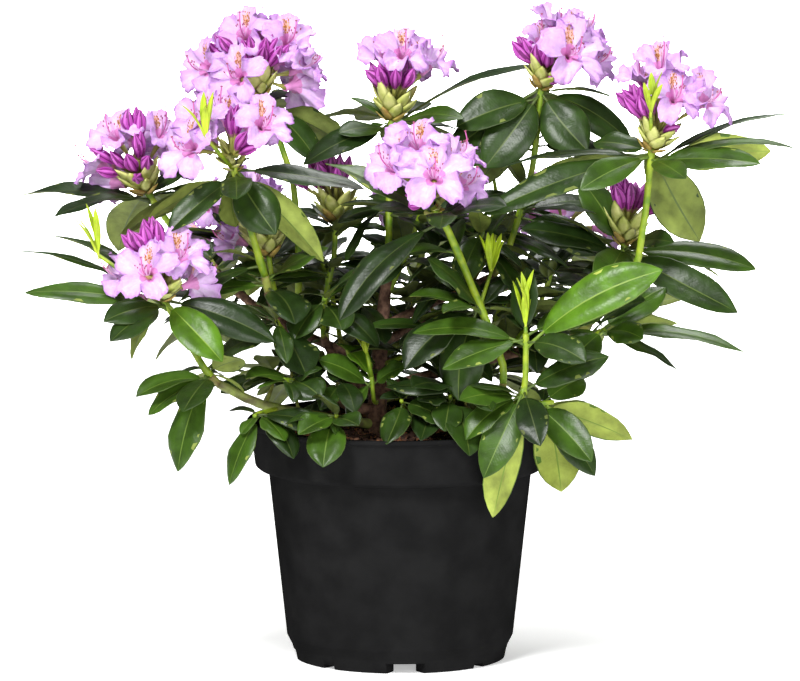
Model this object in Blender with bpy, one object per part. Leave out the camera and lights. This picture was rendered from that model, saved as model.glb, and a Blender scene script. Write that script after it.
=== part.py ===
# Potted rhododendron: a nursery pot, its potting mix, a forked woody base and the shoots it carries.
# Metres, +Z up. The origin is the centre of the pot's flat underside, and -Y is the front.
import math
import random
from collections import namedtuple

import bmesh
import bpy
from mathutils import Vector
from mathutils.bvhtree import BVHTree

CM = 0.01
MM = 0.001
GAP = 0.3 * MM                  # clearance between two solids that touch
UP = Vector((0.0, 0.0, 1.0))
FRONT = Vector((0.0, -1.0, 0.0))

# Pot: a moulded nursery pot with a deep rim band and feet round its base
POT_HEIGHT = 204 * MM
LIP_RADIUS = 130 * MM
LIP_DEPTH = 3.5 * MM
BAND_TOP_RADIUS = 127.3 * MM
BAND_FOOT_RADIUS = 123 * MM
BAND_FOOT = 163 * MM            # height of the band's lower edge
WALL_TOP_RADIUS = 111.7 * MM
WALL_FOOT_RADIUS = 96.3 * MM
WALL_FOOT = 20 * MM
BASE_RIDGE_RADIUS = 91.7 * MM
BASE_RIDGE = 11 * MM
BASE_RADIUS = 89.4 * MM
WALL_THICKNESS = 2.5 * MM
FOOT_RING_RADIUS = 77 * MM      # inner radius of the ring of feet
FOOT_HEIGHT = 9 * MM
PAD_RADIUS = 22 * MM            # flat moulding pad in the middle of the underside
POT_STEPS = 24
NOTCH_WIDTH = 42 * MM
NOTCH_INNER_WIDTH = 15 * MM
STEP_WIDTH = 12 * MM
STEP_HEIGHT = 3.5 * MM

# Potting mix
SOIL_TOP = 193 * MM
SOIL_STEPS = 12
SOIL_RINGS = (0.78, 0.52, 0.26)
SOIL_BUMP = 2.5 * MM
STEM_CLEARING = 60 * MM         # the mix only dips this near the stem's foot

# Limbs and leaves
LIMB_SIDES = 6
LIMB_STEPS = 3                  # stretches of a limb's curve between two of its points
STEM_SIDES = 4
STEM_STEPS = 2
ROOT_FLARE = 0.4                # share by which the foot of the main stem widens
WHORL_DEPTH = 1.3 * CM          # a whorl's leaves leave the stem over this length
STEM_END = 0.985                # no leaf leaves a stem past this share of its length
ROOT_DEPTH = 0.5                # how far out a leaf starts, over the stem's radius
GOLDEN_ANGLE = math.radians(137.5)
BLADE_STATIONS = ((0.40, 0.94), (0.74, 0.80))   # share of length, share of half width
PLAIN_STATIONS = ((0.54, 1.0),)                 # the same for a leaf that only fills the crown
RIDGE = 0.014                   # height of a blade's ridge over its length
BOW = 0.07                      # arch of a blade over its length
SPREAD = 0.33                   # width of a blade over its length
YOUNG_WIDTH = 0.85 * CM
YOUNG_STEM_FOOT = 0.15 * CM
YOUNG_STEM_TIP = 0.12 * CM
LEAF_MARGIN = 0.5 * MM          # clearance kept round a leaf when it is tested
TRIES = (0, 9, -9, 18, -18, 28, -28)            # turns in degrees tried for a leaf that touches
TURN_RISE = 0.1                 # rise of a turned leaf's tip over the arc it swings through

# Blossom
FLORET_RADIUS = 1.85 * CM
THROAT_DEPTH = 1.3 * CM
TUBE_LENGTH = 2.4 * CM
TUBE_RADIUS = 0.32 * CM
NOTCH_SHARE = 0.64              # radius between two lobes over the radius at a lobe
BUD_RADIUS = 0.5 * CM
BUNCH_DOME = 0.35               # how far a bunch's outer buds fall back, over its spread
BUNCH_SHARE = 0.7               # radius of a bunch's solid over its spread
BUNCH_SIDES = 6
WHOLE_BUNCH = 3                 # from this number of buds a bunch is one solid
HEAD_RADIUS = 4.6 * CM
HEART_RISE = 1.6 * CM           # height of a head's middle over its stem's top
SHUT_SPOTS = (0, 1)             # the spots of a head that are still in bud
STALK_RISE = 0.95 * CM          # height over the stem's top at which stalks leave a head's heart
STALK_SIDE = 0.45 * CM          # how far out from the heart's middle they leave it
BRACT_RADIUS = 0.95 * CM
BRACT_FOOT = 0.4 * CM           # depth of the scaly heart's foot under the stem's top
BRACT_TOP = 2.9 * CM
BRACT_WAIST = 0.4               # share of the heart's length at which it is widest
BRACT_SIDES = 5
BUD_WAIST = 0.66
BUD_SIDES = 4

Limb = namedtuple("Limb", "name carrier at path foot tip")
Shoot = namedtuple("Shoot", "name carrier at path thick whorls head young")
Whorl = namedtuple("Whorl", "at count reach fan aims")
Head = namedtuple("Head", "lean opens bunches spots")
Leaf = namedtuple("Leaf", "root tip width roll bow stations")
Floret = namedtuple("Floret", "kind root place facing size")

BACK = (90, 75)                 # fan of leaf directions: middle and half width in degrees
ROUND = (90, 180)

# Woody limbs: foot on a carrier at a share of its length, then points in cm, radii in cm
LIMBS = (
    Limb("main_stem", None, 0.0,
         ((-2.0, -2.0, 19.33), (-1.9, -1.7, 22.5), (-1.6, -0.4, 28.0), (-1.0, 0.5, 33.0)), 0.85, 0.46),
    Limb("bough_left_low", "main_stem", 0.06, ((-5.2, -4.4, 21.0), (-11.5, -6.8, 22.6), (-15.2, -8.3, 24.6)),
         0.42, 0.38),
    Limb("bough_left", "main_stem", 0.16, ((-4.4, -2.9, 21.9), (-7.4, -4.0, 24.6), (-9.6, -3.9, 28.4),
                                           (-11.1, -3.0, 31.6)), 0.45, 0.40),
    Limb("bough_centre_left", "main_stem", 0.25, ((-4.3, -1.0, 23.6), (-5.2, -0.5, 25.0), (-6.5, 0.0, 27.3)),
         0.40, 0.34),
    Limb("bough_left_outer", "main_stem", 0.40, ((-5.5, 1.6, 26.2), (-10.5, 2.8, 28.4), (-15.2, 2.2, 32.0)),
         0.42, 0.36),
    Limb("bough_right_front", "main_stem", 0.08, ((2.5, -4.6, 21.2), (6.5, -7.6, 21.9), (9.3, -9.6, 22.9)),
         0.44, 0.40),
    Limb("bough_right", "main_stem", 0.27, ((3.5, -1.9, 24.7), (10.0, -2.6, 26.5), (15.6, -3.0, 27.9)),
         0.46, 0.40),
    Limb("bough_right_upper", "main_stem", 0.66, ((2.5, 1.5, 30.0), (7.9, 2.9, 32.2)), 0.38, 0.34),
    Limb("bough_back", "main_stem", 0.15, ((-1.2, 4.0, 24.0), (0.5, 10.0, 28.0), (1.5, 14.0, 31.0)),
         0.44, 0.36),
    Limb("bough_back_left", "main_stem", 0.52, ((-4.6, 4.8, 28.4), (-9.5, 10.5, 30.5)), 0.38, 0.34),
    Limb("bough_back_right", "main_stem", 0.55, ((3.2, 5.6, 28.6), (9.5, 10.5, 30.5)), 0.38, 0.34),
)

# Shoots: points in cm after the foot, radius in cm. A whorl's aims are leaf tips measured from
# its middle: right, back and up in cm, the blade's width in cm, and its roll to the front in degrees.
# A head's open flowers are measured from the stem's top: right, back and up in cm, how far the flower
# is turned to the front, and its size over the usual one. A bunch of buds has its tips' middle in cm,
# their number, and its spread in cm. Spots are flowers that a rule spreads over a head.
SHOOTS = (
    Shoot("flowering_shoot_top_left", "bough_left_outer", 0.52,
          ((-8.6, 2.2, 33.0), (-9.1, 2.0, 40.6), (-11.9, 3.0, 47.9)), 0.33,
          (Whorl(0.95, 5, 9.0, BACK, ((6.8, -0.5, -3.6, 3.6, -50), (4.5, -2.0, -4.6, 3.0, 30))),),
          Head((-0.2, -0.15, 0.95),
               ((-2.2, -4.2, 2.1, 0.2, 1.15), (-1.5, -0.6, 5.7, 1.0, 1.0), (-5.3, -1.5, 2.5, 0.7, 1.05),
                (-5.4, 0.8, 0.4, 0.3, 0.85), (2.8, -1.0, 5.1, 0.9, 1.05), (4.5, -0.6, 2.9, 0.15, 1.0),
                (3.9, 1.2, 0.8, -0.6, 1.15), (0.2, 2.4, 5.6, -0.2, 0.9), (-3.6, 3.2, 3.2, -0.4, 1.0),
                (1.6, 4.4, 2.4, -0.5, 1.0)),
               ((-4.0, -0.8, 4.9, 4, 1.0), (-1.0, -1.6, 5.0, 2, 0.6), (1.3, -2.2, 4.9, 6, 1.5)), 0), ()),
    Shoot("flowering_shoot_left", "bough_left_outer", 1.0,
          ((-18.4, 1.6, 35.3), (-21.6, 1.0, 39.9)), 0.32,
          (Whorl(0.93, 4, 9.0, BACK, ((-10.9, 0.0, 0.0, 3.0, 15), (-8.5, -3.0, -1.0, 2.7, 10))),),
          Head((-0.3, -0.2, 0.9),
               ((-2.9, -1.2, 5.5, 0.5, 1.05), (-4.9, 0.4, 2.6, 0.0, 1.0), (-3.3, 1.6, 0.6, -0.5, 0.9),
                (1.6, 0.6, 5.6, 0.6, 0.95), (-1.0, 3.6, 4.4, -0.4, 1.0), (2.6, 3.2, 2.6, -0.4, 0.95)),
               ((-0.9, -0.9, 7.2, 3, 0.8), (-0.4, -2.4, 5.2, 2, 0.5), (-4.6, -1.6, 3.7, 1, 0.0),
                (-2.9, -2.6, 3.6, 1, 0.0), (-1.5, -3.2, 3.4, 1, 0.0), (-4.1, -2.2, 1.9, 1, 0.0),
                (-0.7, -3.2, 1.4, 1, 0.0), (0.4, -3.0, 3.2, 1, 0.0)), 0), ()),
    Shoot("flowering_shoot_left_centre", "bough_left", 1.0,
          ((-11.4, -3.1, 33.0), (-12.6, -4.2, 37.2), (-14.0, -5.0, 42.6)), 0.35,
          (Whorl(0.94, 1, 9.0, BACK, ((-9.8, 1.0, -5.4, 2.2, -45), (-7.4, 0.5, -4.0, 2.6, -45),
                                      (-5.6, -3.0, -4.6, 2.6, 40), (0.2, -6.0, -1.4, 2.8, 10),
                                      (3.4, -3.6, -4.6, 3.8, 45), (7.6, -0.6, -7.2, 3.2, -65),
                                      (11.0, -1.0, -1.2, 2.6, 30), (-0.4, 2.0, -4.8, 3.2, -60))),
           Whorl(0.24, 1, 7.0, BACK, ((-7.0, -1.0, -3.0, 2.3, 20),)),
           Whorl(0.08, 2, 7.0, BACK, ((2.5, -5.0, -2.8, 3.9, 0), (-6.0, -1.0, -1.0, 2.7, 20),
                                      (-5.5, 2.0, 0.5, 2.7, 0), (5.0, -2.0, 3.0, 3.0, 20)))),
          Head((-0.1, -0.5, 0.75),
               ((3.0, -2.8, 4.3, 0.6, 1.1), (-2.9, -1.6, 4.5, 0.8, 1.05), (-4.3, -2.6, 2.0, 0.5, 1.2),
                (-0.9, 0.6, 5.2, 0.6, 0.95), (1.8, 2.8, 3.6, -0.4, 1.0), (-3.0, 3.0, 2.8, -0.4, 1.0)),
               ((0.3, -1.6, 5.4, 3, 0.7), (1.3, -2.9, 3.3, 1, 0.0), (2.2, -2.2, 1.9, 1, 0.0)), 0),
          ((0.97, (-2.2, -3.4, 3.0), 4, 4.5),)),
    Shoot("flowering_shoot_left_front", "bough_left_low", 1.0,
          ((-16.4, -9.0, 26.0), (-18.2, -8.4, 29.0), (-20.0, -7.9, 32.0)), 0.33,
          (Whorl(0.92, 1, 8.0, BACK, ((-13.0, -0.5, 4.0, 2.0, 0), (-11.8, -1.0, 1.2, 2.6, 35),
                                      (-5.0, -4.0, -0.8, 2.8, 35), (-4.5, -5.0, -2.6, 2.7, 25),
                                      (4.8, -4.6, -4.2, 3.4, 40), (9.2, -2.0, -2.9, 3.2, 55),
                                      (-3.0, 2.0, -5.0, 2.3, 0), (-9.5, 4.0, 5.5, 2.7, 0))),
           Whorl(0.16, 2, 6.0, BACK, ((-6.0, -2.0, -1.5, 2.7, 20), (-5.0, -2.0, -3.2, 2.7, 20),
                                      (-2.0, -5.0, -2.5, 3.0, 0), (-2.0, -1.0, -5.5, 2.3, 10),
                                      (-2.5, -2.5, -8.0, 3.4, 10), (3.0, -2.0, 1.5, 2.7, -40),
                                      (5.0, 0.0, 3.5, 3.4, 20)))),
          Head((0.1, -0.4, 0.9),
               ((-1.3, -4.0, 2.8, 0.25, 1.15), (2.0, -1.6, 4.2, 0.5, 1.05), (-4.2, -0.8, 2.4, 0.2, 1.0),
                (-3.4, 1.2, -0.4, -0.2, 0.85), (0.6, 3.6, 3.2, -0.5, 1.0), (3.6, 1.4, 1.4, -0.3, 0.9)),
               ((-0.9, -1.0, 6.8, 5, 1.1), (-2.9, -1.4, 5.7, 3, 0.8)), 0),
          ((0.95, (-5.4, -1.5, 4.0), 5, 4.6),)),
    Shoot("flowering_shoot_top_centre", "main_stem", 1.0,
          ((-0.9, 2.6, 39.0), (-0.7, 4.0, 45.8)), 0.34,
          (Whorl(0.96, 4, 8.0, BACK, ((-4.5, -3.0, -0.6, 2.7, 20), (-8.5, -2.0, -3.2, 2.8, 35),
                                      (12.6, 0.0, 5.0, 3.0, 0), (6.0, -4.0, 1.0, 3.0, 20),
                                      (-4.0, 1.0, -2.5, 3.0, 10))),
           Whorl(0.40, 5, 8.0, ROUND, ())),
          Head((0.12, -0.1, 1.0),
               ((1.1, -1.0, 6.2, 0.8, 1.1), (-0.9, 0.9, 6.0, 0.6, 0.95), (3.9, -0.3, 5.5, 0.1, 1.05),
                (1.5, 3.0, 4.6, -0.5, 0.95)),
               ((-0.3, -0.8, 5.1, 11, 2.4),), 0), ()),
    Shoot("flowering_shoot_front_centre", "bough_right_front", 0.90,
          ((8.7, -9.0, 26.0), (6.8, -8.0, 30.9), (4.0, -9.0, 37.7), (2.7, -9.0, 39.6)), 0.36,
          (Whorl(0.95, 2, 8.0, BACK, ((-8.5, -4.0, -8.0, 3.6, 20), (-9.5, 1.0, 4.5, 3.2, 25),
                                      (5.5, -5.0, 1.5, 3.2, 20), (0.0, -6.5, 0.0, 2.7, 0))),
           Whorl(0.76, 0, 8.0, BACK, ((-5.5, 1.5, -0.5, 3.0, 10),)),
           Whorl(0.48, 2, 8.0, BACK, ((-4.5, -2.0, 4.5, 3.2, 30), (-6.0, -3.0, 1.5, 2.5, 20),
                                      (-4.0, -5.0, 0.5, 2.3, 15), (-6.5, -3.0, -4.5, 3.9, 25),
                                      (-2.0, -2.0, -7.5, 4.3, 20)))),
          Head((-0.1, -0.7, 0.75),
               ((0.2, -3.9, 3.6, 0.3, 1.3), (-1.4, -1.2, 6.0, 0.7, 1.1), (-3.9, -1.5, 4.2, 0.45, 1.15),
                (3.1, -1.8, 2.6, 0.4, 1.0), (2.5, 0.6, 4.9, 0.4, 1.0), (-1.6, 2.6, 4.6, -0.4, 1.0),
                (1.8, 3.2, 2.2, -0.5, 0.9)),
               ((-2.3, -2.2, 1.3, 1, 0.0), (-2.0, -2.9, 0.4, 1, 0.0)), 0),
          ((0.50, (1.0, 2.5, 2.4), 5, 4.0),)),
    Shoot("flowering_shoot_top_right", "bough_right_upper", 1.0,
          ((8.8, 3.0, 33.4), (10.0, 3.0, 37.0), (11.3, 3.0, 41.7), (12.0, 3.0, 48.6)), 0.31,
          (Whorl(0.96, 1, 8.0, BACK, ((-7.2, -1.5, -2.8, 3.8, 45), (-5.6, 0.0, -8.0, 3.2, -70),
                                      (-4.8, -3.0, -6.0, 4.2, 45), (3.9, -3.0, -4.6, 4.2, 55),
                                      (8.0, 1.0, -4.4, 3.4, 45), (-8.2, 1.5, -5.6, 3.4, 50),
                                      (1.6, 2.5, -4.0, 3.0, -60))),
           Whorl(0.70, 0, 7.0, BACK, ((-6.4, -1.5, -1.6, 2.6, 20), (6.0, -1.0, -0.8, 3.0, 30),
                                      (-4.4, 1.5, 1.0, 2.6, -30), (5.0, 2.0, 2.4, 2.8, 30))),
           Whorl(0.36, 7, 8.0, ROUND, ((6.4, -2.0, -3.4, 3.2, 45), (2.6, -1.0, 2.6, 2.4, 20)))),
          Head((0.25, -0.2, 0.9),
               ((2.9, -3.2, 3.4, 0.5, 1.25), (1.4, 0.0, 6.2, 0.1, 1.0), (4.0, 0.8, 5.3, 0.3, 0.9),
                (5.0, -0.9, 2.4, 0.5, 1.05), (0.0, -0.8, 4.7, 0.5, 0.75), (2.2, 3.4, 3.6, -0.5, 1.0),
                (4.6, 1.9, 2.6, -0.1, 0.9)),
               ((-2.2, -1.0, 4.2, 4, 0.9), (0.0, -2.2, 3.8, 3, 0.8), (2.8, -0.6, 5.9, 2, 0.4),
                (1.4, -1.6, 0.3, 1, 0.0)), 0), ()),
    Shoot("leafy_shoot_centre_right", "bough_right_upper", 0.80,
          ((8.0, 5.4, 35.0), (8.2, 5.0, 39.0), (7.4, 4.0, 43.6)), 0.20,
          (Whorl(0.96, 2, 6.0, BACK, ((5.5, -3.0, 4.5, 3.4, 45),)),
           Whorl(0.45, 5, 8.0, ROUND, ())), None, ((1.0, (0.0, 0.0, 1.0), 2, 2.0),)),
    Shoot("flowering_shoot_right", "bough_right", 0.93,
          ((17.6, -2.4, 30.4), (20.1, -3.0, 34.4), (21.2, -3.0, 44.0)), 0.35,
          (Whorl(0.95, 1, 9.0, BACK, ((12.4, 3.0, 3.4, 2.2, 0), (12.2, -1.0, 1.4, 2.6, 10),
                                      (9.2, -3.0, -0.2, 2.8, 40), (10.2, 2.0, 0.4, 4.0, -55),
                                      (2.8, -5.0, -1.2, 2.4, 20), (-12.6, -1.0, -0.6, 2.0, 10),
                                      (-6.0, -4.0, -2.0, 2.8, 35), (-14.2, -3.0, -4.2, 3.2, 40),
                                      (-11.4, 0.0, -2.6, 3.2, -50), (4.2, 1.5, -7.2, 4.4, -70),
                                      (-4.8, 2.5, 1.0, 3.0, 30))),),
          Head((0.3, -0.2, 0.9),
               ((0.9, -0.2, 7.9, 0.4, 1.05), (2.2, -2.6, 5.1, 0.6, 1.1), (5.2, -1.4, 4.6, 0.35, 1.15),
                (-0.9, 1.2, 6.7, 0.4, 0.9), (3.4, 2.2, 5.0, -0.4, 1.0), (0.8, 3.0, 4.0, -0.5, 0.9)),
               ((-1.9, -1.2, 5.4, 9, 2.0), (2.4, -1.2, 1.8, 1, 0.0)), 0),
          ((1.0, (-0.2, -3.2, 3.2), 4, 4.0),)),
    Shoot("budding_shoot_right", "bough_right", 0.78,
          ((15.2, 0.6, 29.2), (18.4, 2.6, 32.4), (19.1, 3.0, 35.3)), 0.31,
          (Whorl(0.94, 2, 8.0, BACK, ((-6.6, -2.0, 3.2, 2.2, 10), (-9.2, -2.4, 2.2, 3.0, 40),
                                      (11.3, -1.0, -1.6, 3.0, 40), (9.6, -4.0, -4.8, 3.4, 50),
                                      (4.0, -5.0, 1.4, 2.2, 40), (8.6, 2.0, -2.4, 2.4, 20),
                                      (-2.4, -6.0, -2.6, 3.4, 30), (-3.6, 1.0, 6.0, 3.4, 45))),),
          Head((0.15, 0.0, 1.0), (),
               ((-0.2, -1.0, 5.5, 5, 1.3), (3.6, -1.4, 4.3, 4, 0.9), (1.6, 1.8, 4.8, 3, 0.9)), 0), ()),
    Shoot("budding_shoot_centre_left", "bough_centre_left", 0.90,
          ((-6.4, 2.2, 30.0), (-5.6, 3.0, 34.0), (-5.5, 3.0, 37.2)), 0.28,
          (Whorl(0.92, 3, 7.0, BACK, ((2.0, -5.0, 1.5, 2.5, 0), (-3.0, -3.0, 0.0, 2.7, 10))),
           Whorl(0.55, 6, 7.5, ROUND, ())),
          Head((0.0, 0.0, 1.0), (),
               ((-0.6, -0.9, 5.7, 10, 2.6), (-4.1, -2.8, 3.9, 1, 0.0)), 0), ()),
    Shoot("budding_shoot_left_centre", "bough_left", 0.84,
          ((-10.6, -1.0, 31.4), (-11.2, 0.3, 34.6)), 0.24,
          (Whorl(0.90, 4, 7.0, BACK, ((3.5, -1.0, 0.2, 2.5, 10),)),),
          Head((-0.15, 0.0, 1.0), ((-3.8, -1.2, 1.6, 0.2, 0.8),),
               ((-0.5, -0.8, 2.9, 4, 0.9),), 0), ()),
    Shoot("leafy_shoot_centre", "bough_centre_left", 1.0,
          ((-6.5, -2.6, 29.4), (-6.3, -4.0, 31.4)), 0.26,
          (Whorl(0.92, 2, 6.0, BACK, ((4.5, -3.0, -3.5, 3.6, 10), (1.5, -4.0, -2.0, 3.2, 10),
                                      (2.5, -2.5, 2.8, 3.4, 25), (-1.5, -3.5, -3.0, 3.4, 0))),
           Whorl(0.30, 4, 6.0, ROUND, ())), None, ()),
    Shoot("leafy_shoot_left_inner", "bough_left", 0.70,
          ((-10.4, -6.0, 29.6),), 0.22,
          (Whorl(0.90, 3, 6.0, (200, 120), ((2.5, -3.0, -4.0, 4.1, 0),)),), None, ()),
    Shoot("leafy_shoot_left_front", "bough_left", 0.45,
          ((-8.4, -6.4, 24.6), (-9.8, -8.0, 24.9)), 0.22,
          (Whorl(0.88, 2, 5.0, (250, 80), ((-3.5, -2.0, 0.5, 2.5, 20), (2.2, -2.0, 1.0, 2.1, 20),
                                           (2.8, -3.0, -1.0, 3.0, 25))),), None, ()),
    Shoot("leafy_shoot_low_left", "bough_left_low", 0.62,
          ((-11.6, -9.2, 22.3), (-12.2, -10.6, 22.2)), 0.20,
          (Whorl(0.80, 0, 5.0, BACK, ((3.0, -3.0, -3.2, 2.7, 10), (-2.5, -2.0, -5.7, 3.0, 0),
                                      (-1.5, -1.0, -1.6, 1.6, 0), (3.0, -2.0, -2.0, 2.5, 0),
                                      (6.0, -2.0, -0.6, 2.7, 30))),), None, ()),
    Shoot("leafy_shoot_low_centre", "bough_left_low", 0.30,
          ((-5.9, -8.0, 21.6), (-5.3, -11.2, 22.3)), 0.20,
          (Whorl(0.92, 1, 4.5, (200, 60), ((-1.0, -4.0, -3.6, 3.4, 0), (2.0, -3.0, -0.3, 2.5, 20),
                                           (-2.0, -1.0, 2.0, 3.0, 20), (-3.5, -2.5, -1.0, 2.5, 20))),),
          None, ()),
    Shoot("leafy_shoot_young_centre", "main_stem", 0.20,
          ((-2.2, -4.6, 22.6), (-2.4, -5.0, 24.8)), 0.22,
          (Whorl(0.90, 1, 4.5, BACK, ((-4.5, -1.0, 2.0, 2.7, 40), (3.0, -1.0, 1.5, 2.3, 40),
                                      (-2.0, -1.5, -3.0, 2.3, 0), (-3.0, 2.0, 3.0, 3.0, 0))),), None,
          ((1.0, (-0.4, 0.0, 2.0), 3, 2.2),)),
    Shoot("leafy_shoot_low_front", "bough_right_front", 0.22,
          ((0.5, -6.2, 22.2), (0.1, -9.2, 23.3)), 0.18,
          (Whorl(0.92, 0, 4.5, BACK, ((-1.3, -4.4, -2.9, 2.7, 0), (4.0, -2.0, -1.5, 3.4, 25),
                                      (2.0, 1.5, 1.0, 2.5, 0))),), None, ()),
    Shoot("leafy_shoot_low_front_right", "bough_right_front", 0.55,
          ((4.3, -7.8, 22.9), (4.2, -9.2, 23.7)), 0.18,
          (Whorl(0.88, 1, 4.5, BACK, ((1.6, -4.4, -4.2, 3.4, 0), (-1.5, -3.0, -2.4, 2.7, 10),
                                      (-3.0, -1.0, 0.0, 2.7, 20))),), None, ()),
    Shoot("leafy_shoot_front_right", "bough_right_front", 1.0,
          ((10.3, -10.8, 24.0), (10.5, -11.0, 26.6), (10.5, -11.0, 29.2)), 0.30,
          (Whorl(0.93, 1, 7.0, BACK, ((11.4, -1.0, 6.0, 4.2, 55), (-9.4, -1.0, 1.0, 2.6, 30),
                                      (4.9, -4.0, -1.2, 3.0, 40), (-7.0, -2.0, -2.2, 2.8, 35),
                                      (-0.4, 1.8, 5.8, 3.2, 45), (6.6, 2.5, 2.0, 3.2, 30))),
           Whorl(0.30, 1, 6.0, BACK, ((-5.4, -3.0, -0.2, 2.6, 35), (-4.6, -1.0, 0.8, 2.2, 10),
                                      (-4.9, -2.0, -3.6, 2.8, 30), (-3.8, -2.5, -6.8, 3.2, 40),
                                      (1.3, -5.0, -3.6, 2.8, 20), (7.0, -1.0, 3.4, 3.4, 40),
                                      (-2.6, -1.0, -10.4, 3.4, -80)))), None,
          ((1.0, (0.0, 0.0, 0.6), 6, 5.0),)),
    Shoot("leafy_shoot_low_right", "bough_right_front", 0.72,
          ((11.0, -8.3, 22.8), (12.9, -8.0, 23.0)), 0.24,
          (Whorl(0.86, 1, 6.0, BACK, ((4.0, -4.5, -4.2, 3.0, 45), (4.4, -1.0, -6.0, 3.0, 50),
                                      (7.6, 2.0, -3.2, 3.4, -55), (5.0, 2.0, -2.0, 2.6, -40),
                                      (3.5, 3.5, 1.6, 3.0, 40), (1.6, -0.3, -7.6, 4.2, -75))),), None, ()),
    Shoot("leafy_shoot_right", "bough_right", 1.0,
          ((16.8, -3.6, 28.3), (17.3, -3.8, 28.6)), 0.30,
          (Whorl(0.72, 1, 6.0, BACK, ((3.5, -4.5, 3.5, 3.4, 35), (6.6, 2.0, 0.6, 3.0, -40),
                                      (12.2, -1.0, -1.4, 2.4, 20), (6.6, 1.0, -3.4, 2.4, 20),
                                      (6.0, 2.0, 3.5, 3.4, 35), (9.8, 3.0, 2.2, 2.8, -30),
                                      (3.5, -3.0, 0.0, 2.7, 35), (-3.0, -3.0, -2.6, 3.2, 35))),), None, ()),
    Shoot("leafy_shoot_inner_right", "bough_right_upper", 0.45,
          ((5.6, -0.6, 33.6), (7.0, -1.2, 36.6)), 0.24,
          (Whorl(0.92, 8, 8.0, ROUND, ()), Whorl(0.45, 4, 7.0, ROUND, ())), None, ()),
    Shoot("leafy_shoot_inner_centre", "main_stem", 0.80,
          ((0.8, 0.6, 35.0), (1.8, 0.2, 38.2)), 0.24,
          (Whorl(0.92, 8, 8.0, ROUND, ()), Whorl(0.45, 4, 7.0, ROUND, ())), None, ()),
    Shoot("leafy_shoot_inner_low_right", "bough_right", 0.45,
          ((7.6, -4.2, 28.4), (8.6, -5.0, 31.0)), 0.24,
          (Whorl(0.92, 8, 7.5, ROUND, ()), Whorl(0.40, 3, 6.0, ROUND, ())), None, ()),
    Shoot("leafy_shoot_inner_left", "bough_left_outer", 0.25,
          ((-5.8, 3.6, 30.5), (-6.8, 4.6, 34.0)), 0.24,
          (Whorl(0.92, 8, 7.5, ROUND, ()), Whorl(0.45, 4, 7.0, ROUND, ())), None, ()),
    Shoot("leafy_shoot_inner_back_right", "bough_right", 0.62,
          ((11.6, 0.8, 29.5), (12.8, 2.2, 32.5)), 0.24,
          (Whorl(0.92, 8, 8.0, ROUND, ()), Whorl(0.45, 4, 7.0, ROUND, ())), None, ()),
    Shoot("leafy_shoot_inner_low_centre", "main_stem", 0.42,
          ((1.4, -2.6, 26.6), (3.2, -3.2, 28.8)), 0.22,
          (Whorl(0.90, 7, 7.0, ROUND, ()), Whorl(0.40, 3, 5.5, ROUND, ())), None, ()),
    Shoot("flowering_shoot_back", "bough_back", 1.0,
          ((2.0, 17.0, 32.6), (2.3, 20.0, 35.2)), 0.31,
          (Whorl(0.93, 9, 9.0, ROUND, ()), Whorl(0.30, 5, 8.0, ROUND, ())),
          Head((0.0, 0.5, 0.85), (), (), 7), ()),
    Shoot("leafy_shoot_back", "bough_back", 0.72,
          ((-3.6, 12.4, 29.4), (-5.8, 15.4, 31.6)), 0.26,
          (Whorl(0.92, 8, 8.5, ROUND, ()), Whorl(0.40, 4, 7.0, ROUND, ())), None, ()),
    Shoot("flowering_shoot_back_left", "bough_back_left", 1.0,
          ((-11.8, 14.0, 31.4), (-13.6, 17.4, 33.6)), 0.31,
          (Whorl(0.93, 9, 9.0, ROUND, ()), Whorl(0.30, 4, 8.0, ROUND, ())),
          Head((-0.3, 0.5, 0.8), (), (), 7), ()),
    Shoot("leafy_shoot_back_left", "bough_back_left", 0.68,
          ((-11.4, 7.2, 28.8), (-15.6, 9.0, 28.8)), 0.26,
          (Whorl(0.92, 7, 8.0, (100, 100), ()), Whorl(0.50, 3, 7.0, (100, 90), ())), None, ()),
    Shoot("flowering_shoot_back_right", "bough_back_right", 1.0,
          ((12.0, 14.0, 31.4), (14.0, 17.4, 33.6)), 0.31,
          (Whorl(0.93, 9, 9.0, ROUND, ()), Whorl(0.30, 4, 8.0, ROUND, ())),
          Head((0.3, 0.5, 0.8), (), (), 7), ()),
    Shoot("leafy_shoot_back_right", "bough_back_right", 0.68,
          ((12.0, 7.4, 29.0), (16.4, 8.6, 29.6)), 0.26,
          (Whorl(0.92, 7, 8.0, (80, 100), ()), Whorl(0.50, 3, 7.0, (80, 90), ())), None, ()),
    Shoot("leafy_shoot_low_back_left", "main_stem", 0.12,
          ((-5.4, 3.0, 21.6), (-9.4, 8.4, 22.8)), 0.26,
          (Whorl(0.94, 7, 7.5, (120, 110), ()), Whorl(0.50, 4, 6.0, ROUND, ())), None, ()),
    Shoot("leafy_shoot_low_back_right", "main_stem", 0.20,
          ((3.4, 2.6, 22.6), (8.4, 7.6, 23.4)), 0.26,
          (Whorl(0.94, 7, 7.5, (60, 110), ()), Whorl(0.50, 4, 6.0, ROUND, ())), None, ()),
)


def smooth_path(points, steps):
    """A Catmull-Rom curve through the points, with the given steps between two of them."""
    ends = [points[0] * 2 - points[1]] + list(points) + [points[-1] * 2 - points[-2]]
    curve = []
    for i in range(1, len(ends) - 2):
        a, b, c, d = ends[i - 1:i + 3]
        for k in range(steps):
            t = k / steps
            curve.append(0.5 * (2 * b + (c - a) * t + (2 * a - 5 * b + 4 * c - d) * t * t
                                + (3 * b - 3 * c + d - a) * t ** 3))
    curve.append(points[-1].copy())
    return curve


def along(curve, share):
    """The point and direction at a share of a curve's length."""
    lengths = [(b - a).length for a, b in zip(curve, curve[1:])]
    left = share * sum(lengths)
    for a, b, length in zip(curve, curve[1:], lengths):
        if left <= length:
            return a.lerp(b, left / length), (b - a).normalized()
        left -= length
    return curve[-1].copy(), (curve[-1] - curve[-2]).normalized()


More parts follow.
